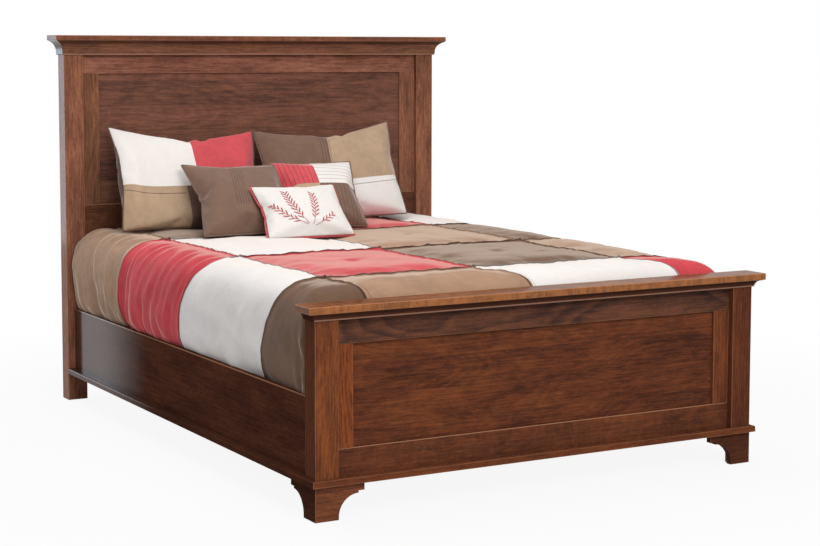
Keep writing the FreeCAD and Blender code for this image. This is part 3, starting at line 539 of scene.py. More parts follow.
def suede_finish(tree, shader, vector, colour, creases=0.0):
    """Nap shading over a patch colour, a painted sheen that pales it where the surface is seen edge-on, and a fine
    fibre bump.
    """
    nap = use_group(tree, NAP, {"Vector": vector})
    shade = between(tree, nap["Brushed"], 0.34, 0.66, 0.86, 1.09)
    grey = add_node(tree, "CombineColor", {0: shade, 1: shade, 2: shade}).outputs[0]
    light = add_node(tree, "RGBToBW", {0: colour}).outputs[0]
    shaded = blend_colour(tree, between(tree, light, 0.3, 0.7, 1.0, 0.2), colour, grey, "MULTIPLY")
    # Painted sheen: the colour pales towards a pale cream where the surface is seen edge-on.
    facing = add_node(tree, "LayerWeight", {"Blend": 0.5}).outputs["Facing"]
    shaded = blend_colour(tree, between(tree, facing, 0.72, 0.9, 0.0, 0.26), shaded, PAINTED_SHEEN_TONE)
    height = plus(tree, times(tree, nap["Fibre"], 0.12), times(tree, nap["Crease"], creases))
    feed(tree, shader, Roughness=between(tree, nap["Brushed"], 0.3, 0.7, 0.78, 0.9))
    return shaded, height


def patch_colours(tree, vector, columns, rows, table):
    """Colour of each patch of a patchwork on flat cloth coordinates; table is listed from row 0 up."""
    axes = split(tree, vector)
    width = columns[-1]
    across = calc(tree, "DIVIDE", axes[0], width)
    colour = None
    for row, colours in enumerate(table):
        made = add_node(tree, "ValToRGB", {"Fac": across})
        made.color_ramp.interpolation = "CONSTANT"
        elements = made.color_ramp.elements
        while len(elements) < len(colours):
            elements.new(0.5)
        for element, start, value in zip(elements, columns, colours):
            element.position = start / width
            element.color = value
        if len(colours) == 1:
            elements[1].color = colours[0]
        if colour is None:
            colour = made.outputs[0]
        else:
            above = more(tree, axes[1], rows[row])
            colour = blend_colour(tree, above, colour, made.outputs[0])
    return colour


def seam_distance(tree, socket, seams):
    """Distance from the nearest of several seams that cross one axis of the cloth."""
    nearest = None
    for seam in seams:
        gap = gap_from(tree, socket, seam)
        nearest = gap if nearest is None else calc(tree, "MINIMUM", nearest, gap)
    return nearest


# ---------------------------------------------------------------- mesh helpers


def bevel(mesh, edges, offset, segments):
    bmesh.ops.bevel(
        mesh, geom=edges, offset=offset, segments=segments, profile=0.5, affect="EDGES", material=-1,
        clamp_overlap=True,
    )


def place_object(name, data):
    piece = bpy.data.objects.new(name, data)
    bpy.context.scene.collection.objects.link(piece)
    return piece


def mesh_object(name, mesh):
    data = bpy.data.meshes.new(name)
    mesh.to_mesh(data)
    mesh.free()
    return place_object(name, data)


def finish_piece(piece, material, body):
    """Smooth-shaded, in its own material, and carried by a body of the bed."""
    for face in piece.data.polygons:
        face.use_smooth = True
    piece.data.materials.clear()
    piece.data.materials.append(material)
    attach(piece, body)
    return piece


def smooth_step(value, low, high):
    part = min(max((value - low) / (high - low), 0.0), 1.0)
    return part * part * (3 - 2 * part)


def along(points, part):
    """Point at a share of a polyline's length, rounded by a Catmull-Rom blend."""
    lengths = [0.0]
    for first, second in zip(points, points[1:]):
        lengths.append(lengths[-1] + math.dist(first, second))
    target = min(max(part, 0.0), 1.0) * lengths[-1]
    index = 0
    while index < len(points) - 2 and lengths[index + 1] < target:
        index += 1
    step = (target - lengths[index]) / (lengths[index + 1] - lengths[index])
    before = points[max(index - 1, 0)]
    start, end = points[index], points[index + 1]
    after = points[min(index + 2, len(points) - 1)]
    found = []
    for a, b, c, d in zip(before, start, end, after):
        curve = 2 * b + (c - a) * step + (2 * a - 5 * b + 4 * c - d) * step**2 + (3 * b - a - 3 * c + d) * step**3
        found.append(curve / 2)
    return found


def seam_lines(seams, spacing, close=(0.0, 0.003, 0.0065, 0.011, 0.018, 0.028)):
    """Grid lines across the cloth: even, but crowded beside each sewn seam."""
    lines = [seams[0]]
    for start, end in zip(seams, seams[1:]):
        left = 0.0 if start == seams[0] else close[-1]
        right = 0.0 if end == seams[-1] else close[-1]
        if left:
            lines += [start + gap for gap in close[1:]]
        count = round((end - start - left - right) / spacing)
        lines += [start + left + (end - start - left - right) * i / count for i in range(1, count + 1)]
        if right:
            lines += [end - gap for gap in reversed(close[:-1])]
    return lines


# ---------------------------------------------------------------- comforter

# The comforter's flat cloth: u runs across the bed from the left hem, v from the foot hem to the head.
PATCH_COLUMNS = (0.0, 0.59, 1.135, 1.725, 2.42)
PATCH_ROWS = (0.0, 0.592, 1.23, 1.87, 2.391)
PATCH_MIDDLES = ((0.24, 0.86, 1.43, 2.12), (0.26, 0.91, 1.55, 2.13))
CLOTH_WIDTH, CLOTH_LENGTH = PATCH_COLUMNS[-1], PATCH_ROWS[-1]
EDGE_LEFT, EDGE_RIGHT, EDGE_FOOT, MIDDLE = 0.55, 1.87, 0.455, 1.2
TOP_X, TOP_FOOT_Y, TOP_Z = 0.66, -0.90, 0.677
CLOTH_GRID, WADDING = 0.0155, 0.013
PUFF_REACH, RUFFLE_REACH, PUCKER_REACH = 0.075, 0.0045, 0.04

# How the cloth falls from the edge of the top: how far out and how far down it has gone.
SIDE_AT_HEAD = (
    (0, 0), (0.065, 0.01), (0.118, 0.045), (0.145, 0.105), (0.151, 0.165), (0.15, 0.22), (0.143, 0.268),
    (0.128, 0.298), (0.117, 0.316), (0.112, 0.345), (0.11, 0.43),
)
SIDE_AT_FOOT = (
    (0, 0), (0.06, 0.012), (0.10, 0.045), (0.119, 0.11), (0.122, 0.2), (0.119, 0.27), (0.114, 0.31),
    (0.112, 0.34), (0.11, 0.43),
)
FOOT_FALL = (
    (0, 0), (0.055, 0.01), (0.095, 0.04), (0.113, 0.09), (0.118, 0.16), (0.119, 0.24), (0.12, 0.31), (0.121, 0.38)
)
# How full the side hangs, from the foot to the head.
FULLNESS = ((-1.03, 0.1), (-0.79, 0.25), (-0.06, 0.6), (0.62, 1.0), (1.04, 1.0))


def interpolate(value, stations):
    for (start, first), (end, second) in zip(stations, stations[1:]):
        if value <= end:
            part = min(max((value - start) / (end - start), 0.0), 1.0)
            return first + (second - first) * part
    return stations[-1][1]


def side_share(u):
    """How far down a hanging side a place is: nothing on the top, one at the hem."""
    return max(EDGE_LEFT - u, 0.0) / EDGE_LEFT + max(u - EDGE_RIGHT, 0.0) / (CLOTH_WIDTH - EDGE_RIGHT)


def comforter_base(u, v):
    """Smooth drape of the cloth before its puffs, seams and creases."""
    y = TOP_FOOT_Y + max(v - EDGE_FOOT, 0.0)
    x = min(max(-TOP_X + (u - EDGE_LEFT), -TOP_X), TOP_X)
    side, foot = side_share(u), max(EDGE_FOOT - v, 0.0) / EDGE_FOOT
    if side <= 0 and foot <= 0:
        return Vector((x, y, TOP_Z))
    drop = (side**5 + foot**5) ** 0.2
    swing = math.pi / 2 * foot / (side + foot)
    bulge = interpolate(y, FULLNESS)
    full, lean = along(SIDE_AT_HEAD, drop), along(SIDE_AT_FOOT, drop)
    at_side = [a + (b - a) * bulge for a, b in zip(lean, full)]
    at_foot = along(FOOT_FALL, drop)
    share = swing / (math.pi / 2)
    out = at_side[0] + (at_foot[0] - at_side[0]) * share
    down = at_side[1] + (at_foot[1] - at_side[1]) * share
    gather = 0.006 * math.sin(swing * 14) * math.sin(math.pi * share) * smooth_step(drop, 0.2, 0.5)
    out = out * (1 + 0.32 * math.sin(2 * swing) ** 2) + gather
    sign = -1 if u < MIDDLE else 1
    if sign > 0:
        out *= 1 - 0.04 * smooth_step(-y, 0.5, 0.9)
    return Vector((x + sign * out * math.cos(swing), y - out * math.sin(swing), TOP_Z - down))


def comforter_point(u, v):
    """Point and outward normal of the comforter's upper face."""
    step = 0.004
    here = comforter_base(u, v)
    du = comforter_base(u + step, v) - comforter_base(u - step, v)
    dv = comforter_base(u, v + step) - comforter_base(u, v - step)
    return here, du.cross(dv).normalized()


def uneven(x, y, z):
    """Smooth random height between about -1 and 1."""
    return noise.noise(Vector((x, y, z)))


def fold(place, soft=0.13):
    """Distance from the nearest crease of a random pattern, with the crease itself rounded."""
    return math.hypot(uneven(*place), soft)


def wave(u, v, scale, seed):
    return uneven(u * scale, v * scale, seed)


def bell(distance, reach):
    return math.exp(-((distance / reach) ** 2))


def comforter_relief(u, v):
    """Height of the puffs, ruffled seams and creases above the drape."""
    to_column, column = min((abs(u - c), c) for c in PATCH_COLUMNS[1:4])
    to_row, row = min((abs(v - r), r) for r in PATCH_ROWS[1:4])
    side = smooth_step(EDGE_LEFT - u, -0.05, 0.12) + smooth_step(u - EDGE_RIGHT, -0.05, 0.12)
    foot = smooth_step(EDGE_FOOT - v, -0.03, 0.12)
    flat = (1 - side) * (1 - foot)

    puff = (1 - bell(to_column, PUFF_REACH)) * (1 - bell(to_row, PUFF_REACH))
    low_corner = 0.006 * smooth_step(u, 1.7, 1.95) * smooth_step(0.9 - v, 0.0, 0.3)
    height = (0.006 + 0.007 * flat - low_corner) * puff
    height += 0.004 * wave(u, v, 2.6, 1.7) * flat
    for gap, line, other, tall in ((to_row, row, u, 0.008), (to_column, column, v, 0.006)):
        ruffle = 0.8 + 0.5 * uneven(other * 22, line * 9, 4.2)
        ruffle += 0.35 * uneven(other * 61, line * 5, 2.7)
        tall = tall * (0.3 + 0.7 * flat) * ruffle
        height += tall * bell(gap, RUFFLE_REACH)
        pucker = uneven(other * 42, line * 7, 8.1) * bell(gap, PUCKER_REACH)
        height += 0.0034 * pucker * (0.4 + 0.6 * flat)
    tack = min(abs(u - c) for c in PATCH_MIDDLES[0]) ** 2 + min(abs(v - r) for r in PATCH_MIDDLES[1]) ** 2
    height -= 0.005 * math.exp(-tack / 0.0009) + 0.003 * math.exp(-tack / 0.009)

    slack = 0.75 - 2.7 * fold((u * 5.5 - v * 4.5, (u + v) * 2.4, 12.3))
    slack += 0.4 - 1.5 * fold((u * 11 - v * 6, (u + v) * 4.0, 14.1), 0.14)
    height += 0.0075 * slack * side * smooth_step(EDGE_LEFT - u, 0.1, 0.3) * smooth_step(u, 0.0, 0.1)
    across = v * 17 + 1.3 * uneven(u * 3, v * 3, 2.0)
    crease = 0.7 - 2.3 * fold((u * 1.6, across, 6.6))
    crease += 0.45 - 1.4 * fold((u * 2.7, across * 1.9, 3.3), 0.16)
    wrinkled = 1.0 if (u < PATCH_COLUMNS[1] and v > PATCH_ROWS[2]) else 0.3
    height += 0.009 * crease * side * wrinkled * smooth_step(CLOTH_WIDTH / 2 - abs(u - 1.21), 0.0, 0.2)
    return height + 0.003 * wave(u, v, 9.0, 5.5) + 0.0016 * wave(u, v, 24.0, 7.5) * flat


def seam_drift(u, v):
    """How far the cloth of the sides slides towards the head, and the wander of the ruffles."""
    side = side_share(u)
    slide = 0.105 * smooth_step(side, 0.12, 0.6)
    slide += (0.04 - 0.06 * smooth_step(v, 0.7, 1.1)) * smooth_step(side, 0.6, 1.0)
    slide *= smooth_step(v, EDGE_FOOT - 0.05, EDGE_FOOT + 0.15) * smooth_step(CLOTH_LENGTH - v, 0.25, 1.2)
    wander = 0.0035 * uneven(u * 27, v * 3, 9.9) + 0.009 * uneven(u * 4, v * 2, 1.1)
    sway = 0.004 * uneven(u * 3, v * 15, 5.9) + 0.008 * uneven(u * 2, v * 3.5, 7.1)
    flat = 1 - min(side * 3, 1.0) * 0.6
    turn = 0.03 + 0.045 * smooth_step(u, 0.6, 1.1)
    turn *= smooth_step(EDGE_FOOT - v, -0.1, 0.1)
    turn *= smooth_step(u, 0.45, 0.65) * smooth_step(EDGE_RIGHT - u, 0.0, 0.15)
    return Vector((sway * flat + turn, 0, 0)), Vector((0, slide + wander * flat, 0))


def build_comforter():
    columns, rows = seam_lines(PATCH_COLUMNS, CLOTH_GRID), seam_lines(PATCH_ROWS, CLOTH_GRID)
    mesh = bmesh.new()
    bmesh.ops.create_grid(mesh, x_segments=len(columns) - 1, y_segments=len(rows) - 1, size=0.5)
    flat = mesh.loops.layers.uv.new("flat cloth")
    where = {}
    for vertex in mesh.verts:
        i = round((vertex.co.x + 0.5) * (len(columns) - 1))
        j = round((vertex.co.y + 0.5) * (len(rows) - 1))
        where[vertex] = (columns[i], rows[j])
    for face in mesh.faces:
        for loop in face.loops:
            loop[flat].uv = where[loop.vert]
    for vertex, (u, v) in where.items():
        here, outward = comforter_point(u, v)
        sway, slide = seam_drift(u, v)
        vertex.co = here + sway + slide + outward * comforter_relief(u, v)
        vertex.co.y = min(max(vertex.co.y, QUILT_FOOT), QUILT_HEAD)
    piece = finish_piece(mesh_object("patchwork_comforter", mesh), comforter_suede(), "mattress_set")
    wall = piece.modifiers.new("wadding", "SOLIDIFY")
    wall.thickness, wall.offset = WADDING, -1
    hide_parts("comforter")


def comforter_suede():
    nap = dict(Sheen_Weight=0.18, Sheen_Roughness=0.35, Sheen_Tint=(1.0, 0.9, 0.82, 1.0))
    material, tree, shader = new_material("patchwork suede", Specular_IOR_Level=0.1, **nap)
    flat = add_node(tree, "UVMap", uv_map="flat cloth").outputs[0]
    tan, brown, red, white = QUILT_TAN, QUILT_BROWN, QUILT_RED, QUILT_WHITE
    table = ((brown, tan, white, red), (white, red, brown, tan), (red, white, tan, brown), (tan, brown, red, white))
    colour = patch_colours(tree, flat, PATCH_COLUMNS, PATCH_ROWS, table)
    shaded, height = suede_finish(tree, shader, flat, colour, 0.6)

    axes = split(tree, flat)
    hanging = less(tree, axes[0], EDGE_LEFT)
    line = between(tree, seam_distance(tree, axes[0], PATCH_COLUMNS[1:4]), 0.0022, 0.004, 0.85, 0.0)
    for seam in PATCH_ROWS[1:4]:
        below = minus(tree, axes[1], seam)
        # Painted shade on the foot side of each raised row seam, on the top only.
        seam_shadow = between(tree, below, -0.0062, -0.004, 0.0, 0.85)
        seam_shadow = times(tree, seam_shadow, between(tree, below, 0.0, 0.0015, 1.0, 0.0), minus(tree, 1.0, hanging))
        sewn = between(tree, calc(tree, "ABSOLUTE", below), 0.0022, 0.004, 0.6, 0.0)
        line = larger(tree, line, seam_shadow, times(tree, sewn, hanging))
    stitch = seam_distance(tree, axes[0], [seam + 0.016 for seam in PATCH_COLUMNS[1:4]])
    line = larger(tree, line, between(tree, stitch, 0.001, 0.0022, 0.35, 0.0))
    tack = less(tree, seam_distance(tree, axes[0], PATCH_MIDDLES[0]), 0.006)
    tack = times(tree, tack, less(tree, seam_distance(tree, axes[1], PATCH_MIDDLES[1]), 0.0014))
    line = larger(tree, line, times(tree, tack, 0.55))
    feed(tree, shader, Base_Color=blend_colour(tree, line, shaded, SEAM_AND_SHADOW_TONE))

    gathers = speckle(tree, stretch(tree, flat, (4.5, 36.0, 1.0)), 1.0, 4.0, 0.55, 0.9)
    gathers = between(tree, gap_from(tree, gathers, 0.5), 0.0, 0.3, 0.0, 0.3)
    gathers = times(tree, gathers, between(tree, axes[0], 0.05, 0.4, 0.35, 1.0))
    puckered = more(tree, axes[1], PATCH_ROWS[2])
    strength = times(tree, plus(tree, times(tree, puckered, 0.75), 0.25), hanging)
    height = minus(tree, height, times(tree, gathers, times(tree, strength, 3.2)))
    bump(tree, shader, height, 0.004, 0.6)
    return material


# ---------------------------------------------------------------- mattress and box spring


def padded_block(name, node, material, round_side, round_top, tuft, spacing):
    """Upholstered block: rounded upright corners, soft rims and a tufted top."""
    low, high = (Vector(corner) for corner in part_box(node))
    size, middle = high - low, (low + high) / 2
    mesh = bmesh.new()
    bmesh.ops.create_cube(mesh, size=1.0)
    bmesh.ops.scale(mesh, vec=size, verts=mesh.verts)
    upright = [e for e in mesh.edges if abs((e.verts[0].co - e.verts[1].co).z) > 0.01]
    bevel(mesh, upright, round_side, 5)
    rims = [e for e in mesh.edges if abs((e.verts[0].co - e.verts[1].co).z) < 0.001]
    bevel(mesh, rims, round_top, 3)
    bmesh.ops.translate(mesh, vec=middle, verts=mesh.verts)
    for axis in (0, 1, 2):
        across = Vector([float(index == axis) for index in range(3)])
        count = math.ceil(size[axis] / spacing)
        for index in range(1, count):
            cut = across * (low[axis] + size[axis] * index / count)
            parts = mesh.verts[:] + mesh.edges[:] + mesh.faces[:]
            bmesh.ops.bisect_plane(mesh, geom=parts, plane_co=cut, plane_no=across)
    mesh.normal_update()
    moves = {}
    for vertex in mesh.verts:
        inward = min(vertex.co.x - low.x, high.x - vertex.co.x, vertex.co.y - low.y, high.y - vertex.co.y)
        quilt = abs(math.sin(vertex.co.x * 21)) * abs(math.sin(vertex.co.y * 21))
        level = abs(vertex.normal.z)
        moves[vertex] = vertex.normal * (tuft * (quilt - 1) * level * smooth_step(inward, 0.0, 0.08))
    for vertex, move in moves.items():
        vertex.co += move
    piece = finish_piece(mesh_object(name, mesh), material, "mattress_set")
    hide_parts(node)
    return piece


def woven_finish(name, dark, light, count=2400.0):
    material, tree, shader = new_material(name, Roughness=0.85, Sheen_Weight=0.15, Specular_IOR_Level=0.25)
    position = on_object(tree)
    weave = use_group(tree, WEAVE, {"Vector": position, "Count": count})
    nap = use_group(tree, NAP, {"Vector": position})
    value = plus(tree, times(tree, nap["Brushed"], 0.7), times(tree, weave["Slub"], 0.3))
    feed(tree, shader, Base_Color=ramp(tree, value, (0.35, tone(dark)), (0.65, tone(light))))
    bump(tree, shader, weave["Height"], 0.0004, 0.4)
    return material


# ---------------------------------------------------------------- pillows

# The cloth of a cover is cut larger than the pillow by this share, and woven on this grid.
EASE = 1.06
PILLOW_GRID = 0.0105
# The cover's map holds the front from -0.5 to 0.5, and the back BACK_SHIFT further on.
BACK_SHIFT, BACK_STARTS = 4.0, 2.0
PILLOW_NAP = dict(Sheen_Weight=0.25, Sheen_Roughness=0.45, Specular_IOR_Level=0.2)


def pillow_frame(foot, lean, turn, roll):
    """Where a pillow stands: the middle of its lower edge, leaning back, turned and rolled."""
    turned = Matrix.Rotation(math.radians(turn), 4, "Z") @ Matrix.Rotation(math.radians(-lean), 4, "X")
    return Matrix.Translation(Vector(foot) / 1000) @ turned @ Matrix.Rotation(math.radians(roll), 4, "Y")


def cover_cells(size):
    """How many cells of cloth a cover has across and up."""
    return [round(side * EASE / PILLOW_GRID) for side in size[:2]]


def sewn_pillow(name, size):
    """Two flat faces joined round the edge, standing in the XZ plane with the front towards -Y."""
    mesh = bmesh.new()
    width, height = (side * EASE for side in size[:2])
    across, up = cover_cells(size)
    bmesh.ops.create_grid(mesh, x_segments=across, y_segments=up, size=0.5)
    bmesh.ops.scale(mesh, vec=(width, height, 1), verts=mesh.verts)
    cover = mesh.loops.layers.uv.new("cover")
    for face in mesh.faces:
        for loop in face.loops:
            loop[cover].uv = (loop.vert.co.x / width, loop.vert.co.y / height + 0.5)
    bmesh.ops.rotate(mesh, cent=(0, 0, 0), matrix=Matrix.Rotation(math.pi / 2, 3, "X"), verts=mesh.verts)
    bmesh.ops.translate(mesh, vec=(0, 0, height / 2), verts=mesh.verts)
    copied = bmesh.ops.duplicate(mesh, geom=mesh.verts[:] + mesh.edges[:] + mesh.faces[:])["geom"]
    back = [f for f in copied if isinstance(f, bmesh.types.BMFace)]
    for face in back:
        for loop in face.loops:
            loop[cover].uv.x += BACK_SHIFT
    bmesh.ops.reverse_faces(mesh, faces=back)
    hind = {v for f in back for v in f.verts}
    for vertex in mesh.verts:
        if not vertex.is_boundary:
            edge = min(width / 2 - abs(vertex.co.x), vertex.co.z, height - vertex.co.z)
            vertex.co.y += (1 if vertex in hind else -1) * (0.003 + 0.12 * min(edge, 0.08))
    bmesh.ops.remove_doubles(mesh, verts=mesh.verts, dist=0.0005)
    return mesh_object(name, mesh)


def inflate(piece, pressure=2.2, frames=20):
    """Fill a sewn cover with air in a cloth simulation, and keep the result."""
    cloth = piece.modifiers.new("filling", "CLOTH")
    settings = cloth.settings
    settings.quality = 5
    settings.mass = 0.3
    settings.tension_stiffness = settings.compression_stiffness = 14
    settings.shear_stiffness = 7
    settings.bending_stiffness = 0.25
    settings.use_pressure = True
    settings.uniform_pressure_force = pressure
    settings.effector_weights.gravity = 0
    cloth.point_cache.frame_start, cloth.point_cache.frame_end = 1, frames
    scene = bpy.context.scene
    for number in range(1, frames + 1):
        scene.frame_set(number)
    graph = bpy.context.evaluated_depsgraph_get()
    shaped = bpy.data.meshes.new_from_object(piece.evaluated_get(graph))
    piece.modifiers.clear()
    old = piece.data
    piece.data = shaped
    bpy.data.meshes.remove(old)
    scene.frame_set(1)


def settle(point, a, b, thick, slump, forward):
    """Let the filling sink: the lower front bulges down, and the back swells out past the left seam."""
    bulge = min(max(-point.y / (thick / 2), 0.0), 1.0)
    point.z -= slump * bulge * math.exp(-((b / 0.3) ** 2))
    point.y *= 1.16 - 0.34 * b
    near = forward * math.exp(-((a / 0.14) ** 2)) * math.sin(math.pi * min(max(1.02 - b, 0.0), 1.0))
    behind = min(max(point.y / (thick / 2), 0.0), 1.0)
    point.x -= 1.3 * near * behind
    point.y -= 0.7 * near * (1 - behind)
    return point


def build_pillow(node, name, cover, cord, foot, tilt, size, corners, draw, slump, forward=0.0):
    """Sewn, filled and stood against the headboard.

    tilt is the lean, turn and roll in degrees. corners are the lower left, lower right, upper right
    and upper left corners of the front, and draw says how far the left, right, top and foot pull in.
    cord is the piping's radius, its material and how far it lies from the seam.
    """
    thick = size[2]
    piece = sewn_pillow(name, size)
    flat = [(v.co.x / (size[0] * EASE) + 0.5, v.co.z / (size[1] * EASE)) for v in piece.data.vertices]
    inflate(piece)
    vertices = piece.data.vertices
    sides = max(abs(v.co.x) for v in vertices)
    low, high = min(v.co.z for v in vertices), max(v.co.z for v in vertices)
    depth = max(abs(v.co.y) for v in vertices)
    pulls = []
    for vertex, (a, b) in zip(vertices, flat):
        across = vertex.co.x / (2 * sides) + 0.5 - a
        up = (vertex.co.z - low) / (high - low) - b
        pulls.append((across, up))
    most_across = max(abs(p[0]) for p in pulls) or 1.0
    most_up = max(abs(p[1]) for p in pulls) or 1.0
    place = pillow_frame(foot, *tilt)
    lower_left, lower_right, upper_right, upper_left = (Vector(c) for c in corners)
    for vertex, (a, b), (across, up) in zip(vertices, flat, pulls):
        spot = (lower_left * (1 - a) + lower_right * a) * (1 - b) + (upper_left * (1 - a) + upper_right * a) * b
        spot.x += across / most_across * (draw[0] if across > 0 else draw[1])
        spot.y += up / most_up * (draw[2] if up < 0 else draw[3])
        point = Vector((spot.x, vertex.co.y * thick / 2 / depth, spot.y))
        vertex.co = place @ settle(point, a, b, thick, slump, forward)
    finish_piece(piece, cover, "pillow_stack")
    smoother = piece.modifiers.new("cover", "SUBSURF")
    smoother.levels = smoother.render_levels = 1
    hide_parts(node)
    add_piping(piece, size, cord)
    return piece


def pillow_suede(
    name, size, columns, rows, table, slant=(0.0, 0.0), back=DARK_BROWN, tucks=(), weave=False, step=0.0
):
    """Suede or linen cover. Seams and tucks are placed in metres from the middle of the lower edge.

    slant leans the upright and the level seams, and step is how far the upper patches' seam is set over.
    A tuck row is: axis (0 upright, 1 level), start, spacing, count, the band it keeps to (x low, x high,
    z low, z high), and how tall its folds stand.
    """
    material, tree, shader = new_material(name, **PILLOW_NAP)
    cover = add_node(tree, "UVMap", uv_map="cover").outputs[0]
    hind = more(tree, split(tree, cover)[0], BACK_STARTS)
    metric = stretch(tree, cover, (size[0], size[1], 1))
    axes = split(tree, metric)
    x = minus(tree, axes[0], times(tree, axes[1], slant[0]))
    z = minus(tree, axes[1], times(tree, axes[0], slant[1]))
    x = minus(tree, x, times(tree, more(tree, z, rows[1]), step))
    leant = join(tree, plus(tree, x, 1.0), z)
    colour = patch_colours(tree, leant, [c + 1.0 if c else 0.0 for c in columns], rows, table)
    colour = blend_colour(tree, hind, colour, back)
    shaded, height = suede_finish(tree, shader, metric, colour, 0.35)
    if weave:
        threads = use_group(tree, WEAVE, {"Vector": metric, "Count": 1300.0})
        height = plus(tree, height, times(tree, threads["Height"], 0.12))
    front = minus(tree, 1.0, hind)
    for axis, start, spacing, count, band, tall in tucks:
        sewn = {"Position": (x, z)[axis], "Start": start, "Spacing": spacing, "Count": count, "Line": 0.0022}
        made = use_group(tree, TUCKS, sewn)
        mask = times(tree, between_lines(tree, x, *band[:2]), between_lines(tree, z, *band[2:]), front)
        # Painted shadow in the fold of each tuck.
        shaded = blend_colour(tree, times(tree, made["Crease"], mask, 0.6), shaded, SEAM_AND_SHADOW_TONE)
        height = plus(tree, height, times(tree, made["Fold"], mask, tall))
    feed(tree, shader, Base_Color=shaded)
    bump(tree, shader, height, 0.003, 0.6)
    return material


def front_vertices(pillow, size):
    """Vertices of a pillow's front by their place in its cover's grid."""
    across, up = cover_cells(size)
    layer = pillow.data.uv_layers["cover"].data
    found = {}
    for loop in pillow.data.loops:
        u, v = layer[loop.index].uv
        if u < BACK_STARTS:
            found[(round((u + 0.5) * across), round(v * up))] = pillow.data.vertices[loop.vertex_index]
    return found


def add_piping(pillow, size, cord):
    """Round cord sewn into the seam, through the border vertices that front and back share."""
    radius, material, behind = cord
    across, up = cover_cells(size)
    ring = [(i, 0) for i in range(across)] + [(across, j) for j in range(up)]
    ring += [(i, up) for i in range(across, 0, -1)] + [(0, j) for j in range(up, 0, -1)]
    found = front_vertices(pillow, size)
    points = [found[key].co + Vector(behind) for key in ring]
    path = bpy.data.curves.new("piping path", "CURVE")
    path.dimensions = "3D"
    spline = path.splines.new("NURBS")
    spline.points.add(len(points) - 1)
    for spot, point in zip(spline.points, points):
        spot.co = (*point, 1)
    spline.use_cyclic_u = True
    spline.order_u = 3
    path.resolution_u = 2
    path.bevel_depth = radius
    path.bevel_resolution = 2
    cord = place_object("cord", path)
    graph = bpy.context.evaluated_depsgraph_get()
    data = bpy.data.meshes.new_from_object(cord.evaluated_get(graph))
    bpy.data.objects.remove(cord)
    piping = finish_piece(place_object(pillow.name + "_piping", data), material, "pillow_stack")


def on_cover(pillow, size):
    """Finds the place and outward direction of any spot on a pillow's front, in metres on its cover."""
    across, up = cover_cells(size)
    found = front_vertices(pillow, size)
    spots = {key: (vertex.co.copy(), vertex.normal.copy()) for key, vertex in found.items()}

    def spot(x, z):
        i, j = (x / size[0] + 0.5) * across, z / size[1] * up
        i0, j0 = min(int(i), across - 1), min(int(j), up - 1)
        found = []
        for part in (0, 1):
            low = spots[(i0, j0)][part].lerp(spots[(i0 + 1, j0)][part], i - i0)
            high = spots[(i0, j0 + 1)][part].lerp(spots[(i0 + 1, j0 + 1)][part], i - i0)
            found.append(low.lerp(high, j - j0))
        return found[0], found[1].normalized()

    return spot


def embroider(pillow, size, thread):
    """Satin-stitched sprigs: each is a bending stem with pairs of narrow leaves."""
    spot = on_cover(pillow, size)
    mesh = bmesh.new()

    def stitch(x, z, angle, length, width):
        place, outward = spot(x, z)
        ahead, _ = spot(x + 0.004 * math.cos(angle), z + 0.004 * math.sin(angle))
        run = (ahead - place).normalized()
        side = outward.cross(run).normalized()
        turn = Matrix((run, side, run.cross(side))).transposed().to_4x4()
        shape = Matrix.Diagonal((length, width, 0.0016, 1))
        middle = place + outward * 0.0007 + run * (length / 2)
        bmesh.ops.create_uvsphere(
            mesh, u_segments=6, v_segments=4, radius=0.5, matrix=Matrix.Translation(middle) @ turn @ shape
        )

    sprigs = (
        (-0.012, 0.046, 120, 0.185, -30, 10, 0.034),
        (-0.016, 0.046, 154, 0.160, -38, 8, 0.031),
        (0.004, 0.044, 64, 0.165, 28, 9, 0.032),
        (0.012, 0.040, 22, 0.105, 24, 5, 0.026),
    )
    for x, z, start, length, bend, pairs, leaf in sprigs:
        steps = pairs * 2
        for index in range(steps):
            part = index / steps
            angle = math.radians(start + bend * part)
            stitch(x, z, angle, length / steps * 1.25, 0.0022)
            if index >= 3:
                grow = leaf * (1.0 - 0.55 * abs(part - 0.45))
                side = 1 if index % 2 else -1
                stitch(x, z, angle + side * math.radians(36), grow, 0.0056)
            x += length / steps * math.cos(angle)
            z += length / steps * math.sin(angle)
    sprig = finish_piece(mesh_object("embroidered_sprigs", mesh), thread, "pillow_stack")


def corded_suede(name, colour):
    material, tree, shader = new_material(name, **PILLOW_NAP)
    position = on_object(tree)
    shaded, height = suede_finish(tree, shader, position, colour)
    feed(tree, shader, Base_Color=shaded)
    bump(tree, shader, height, 0.002, 0.5)
    return material


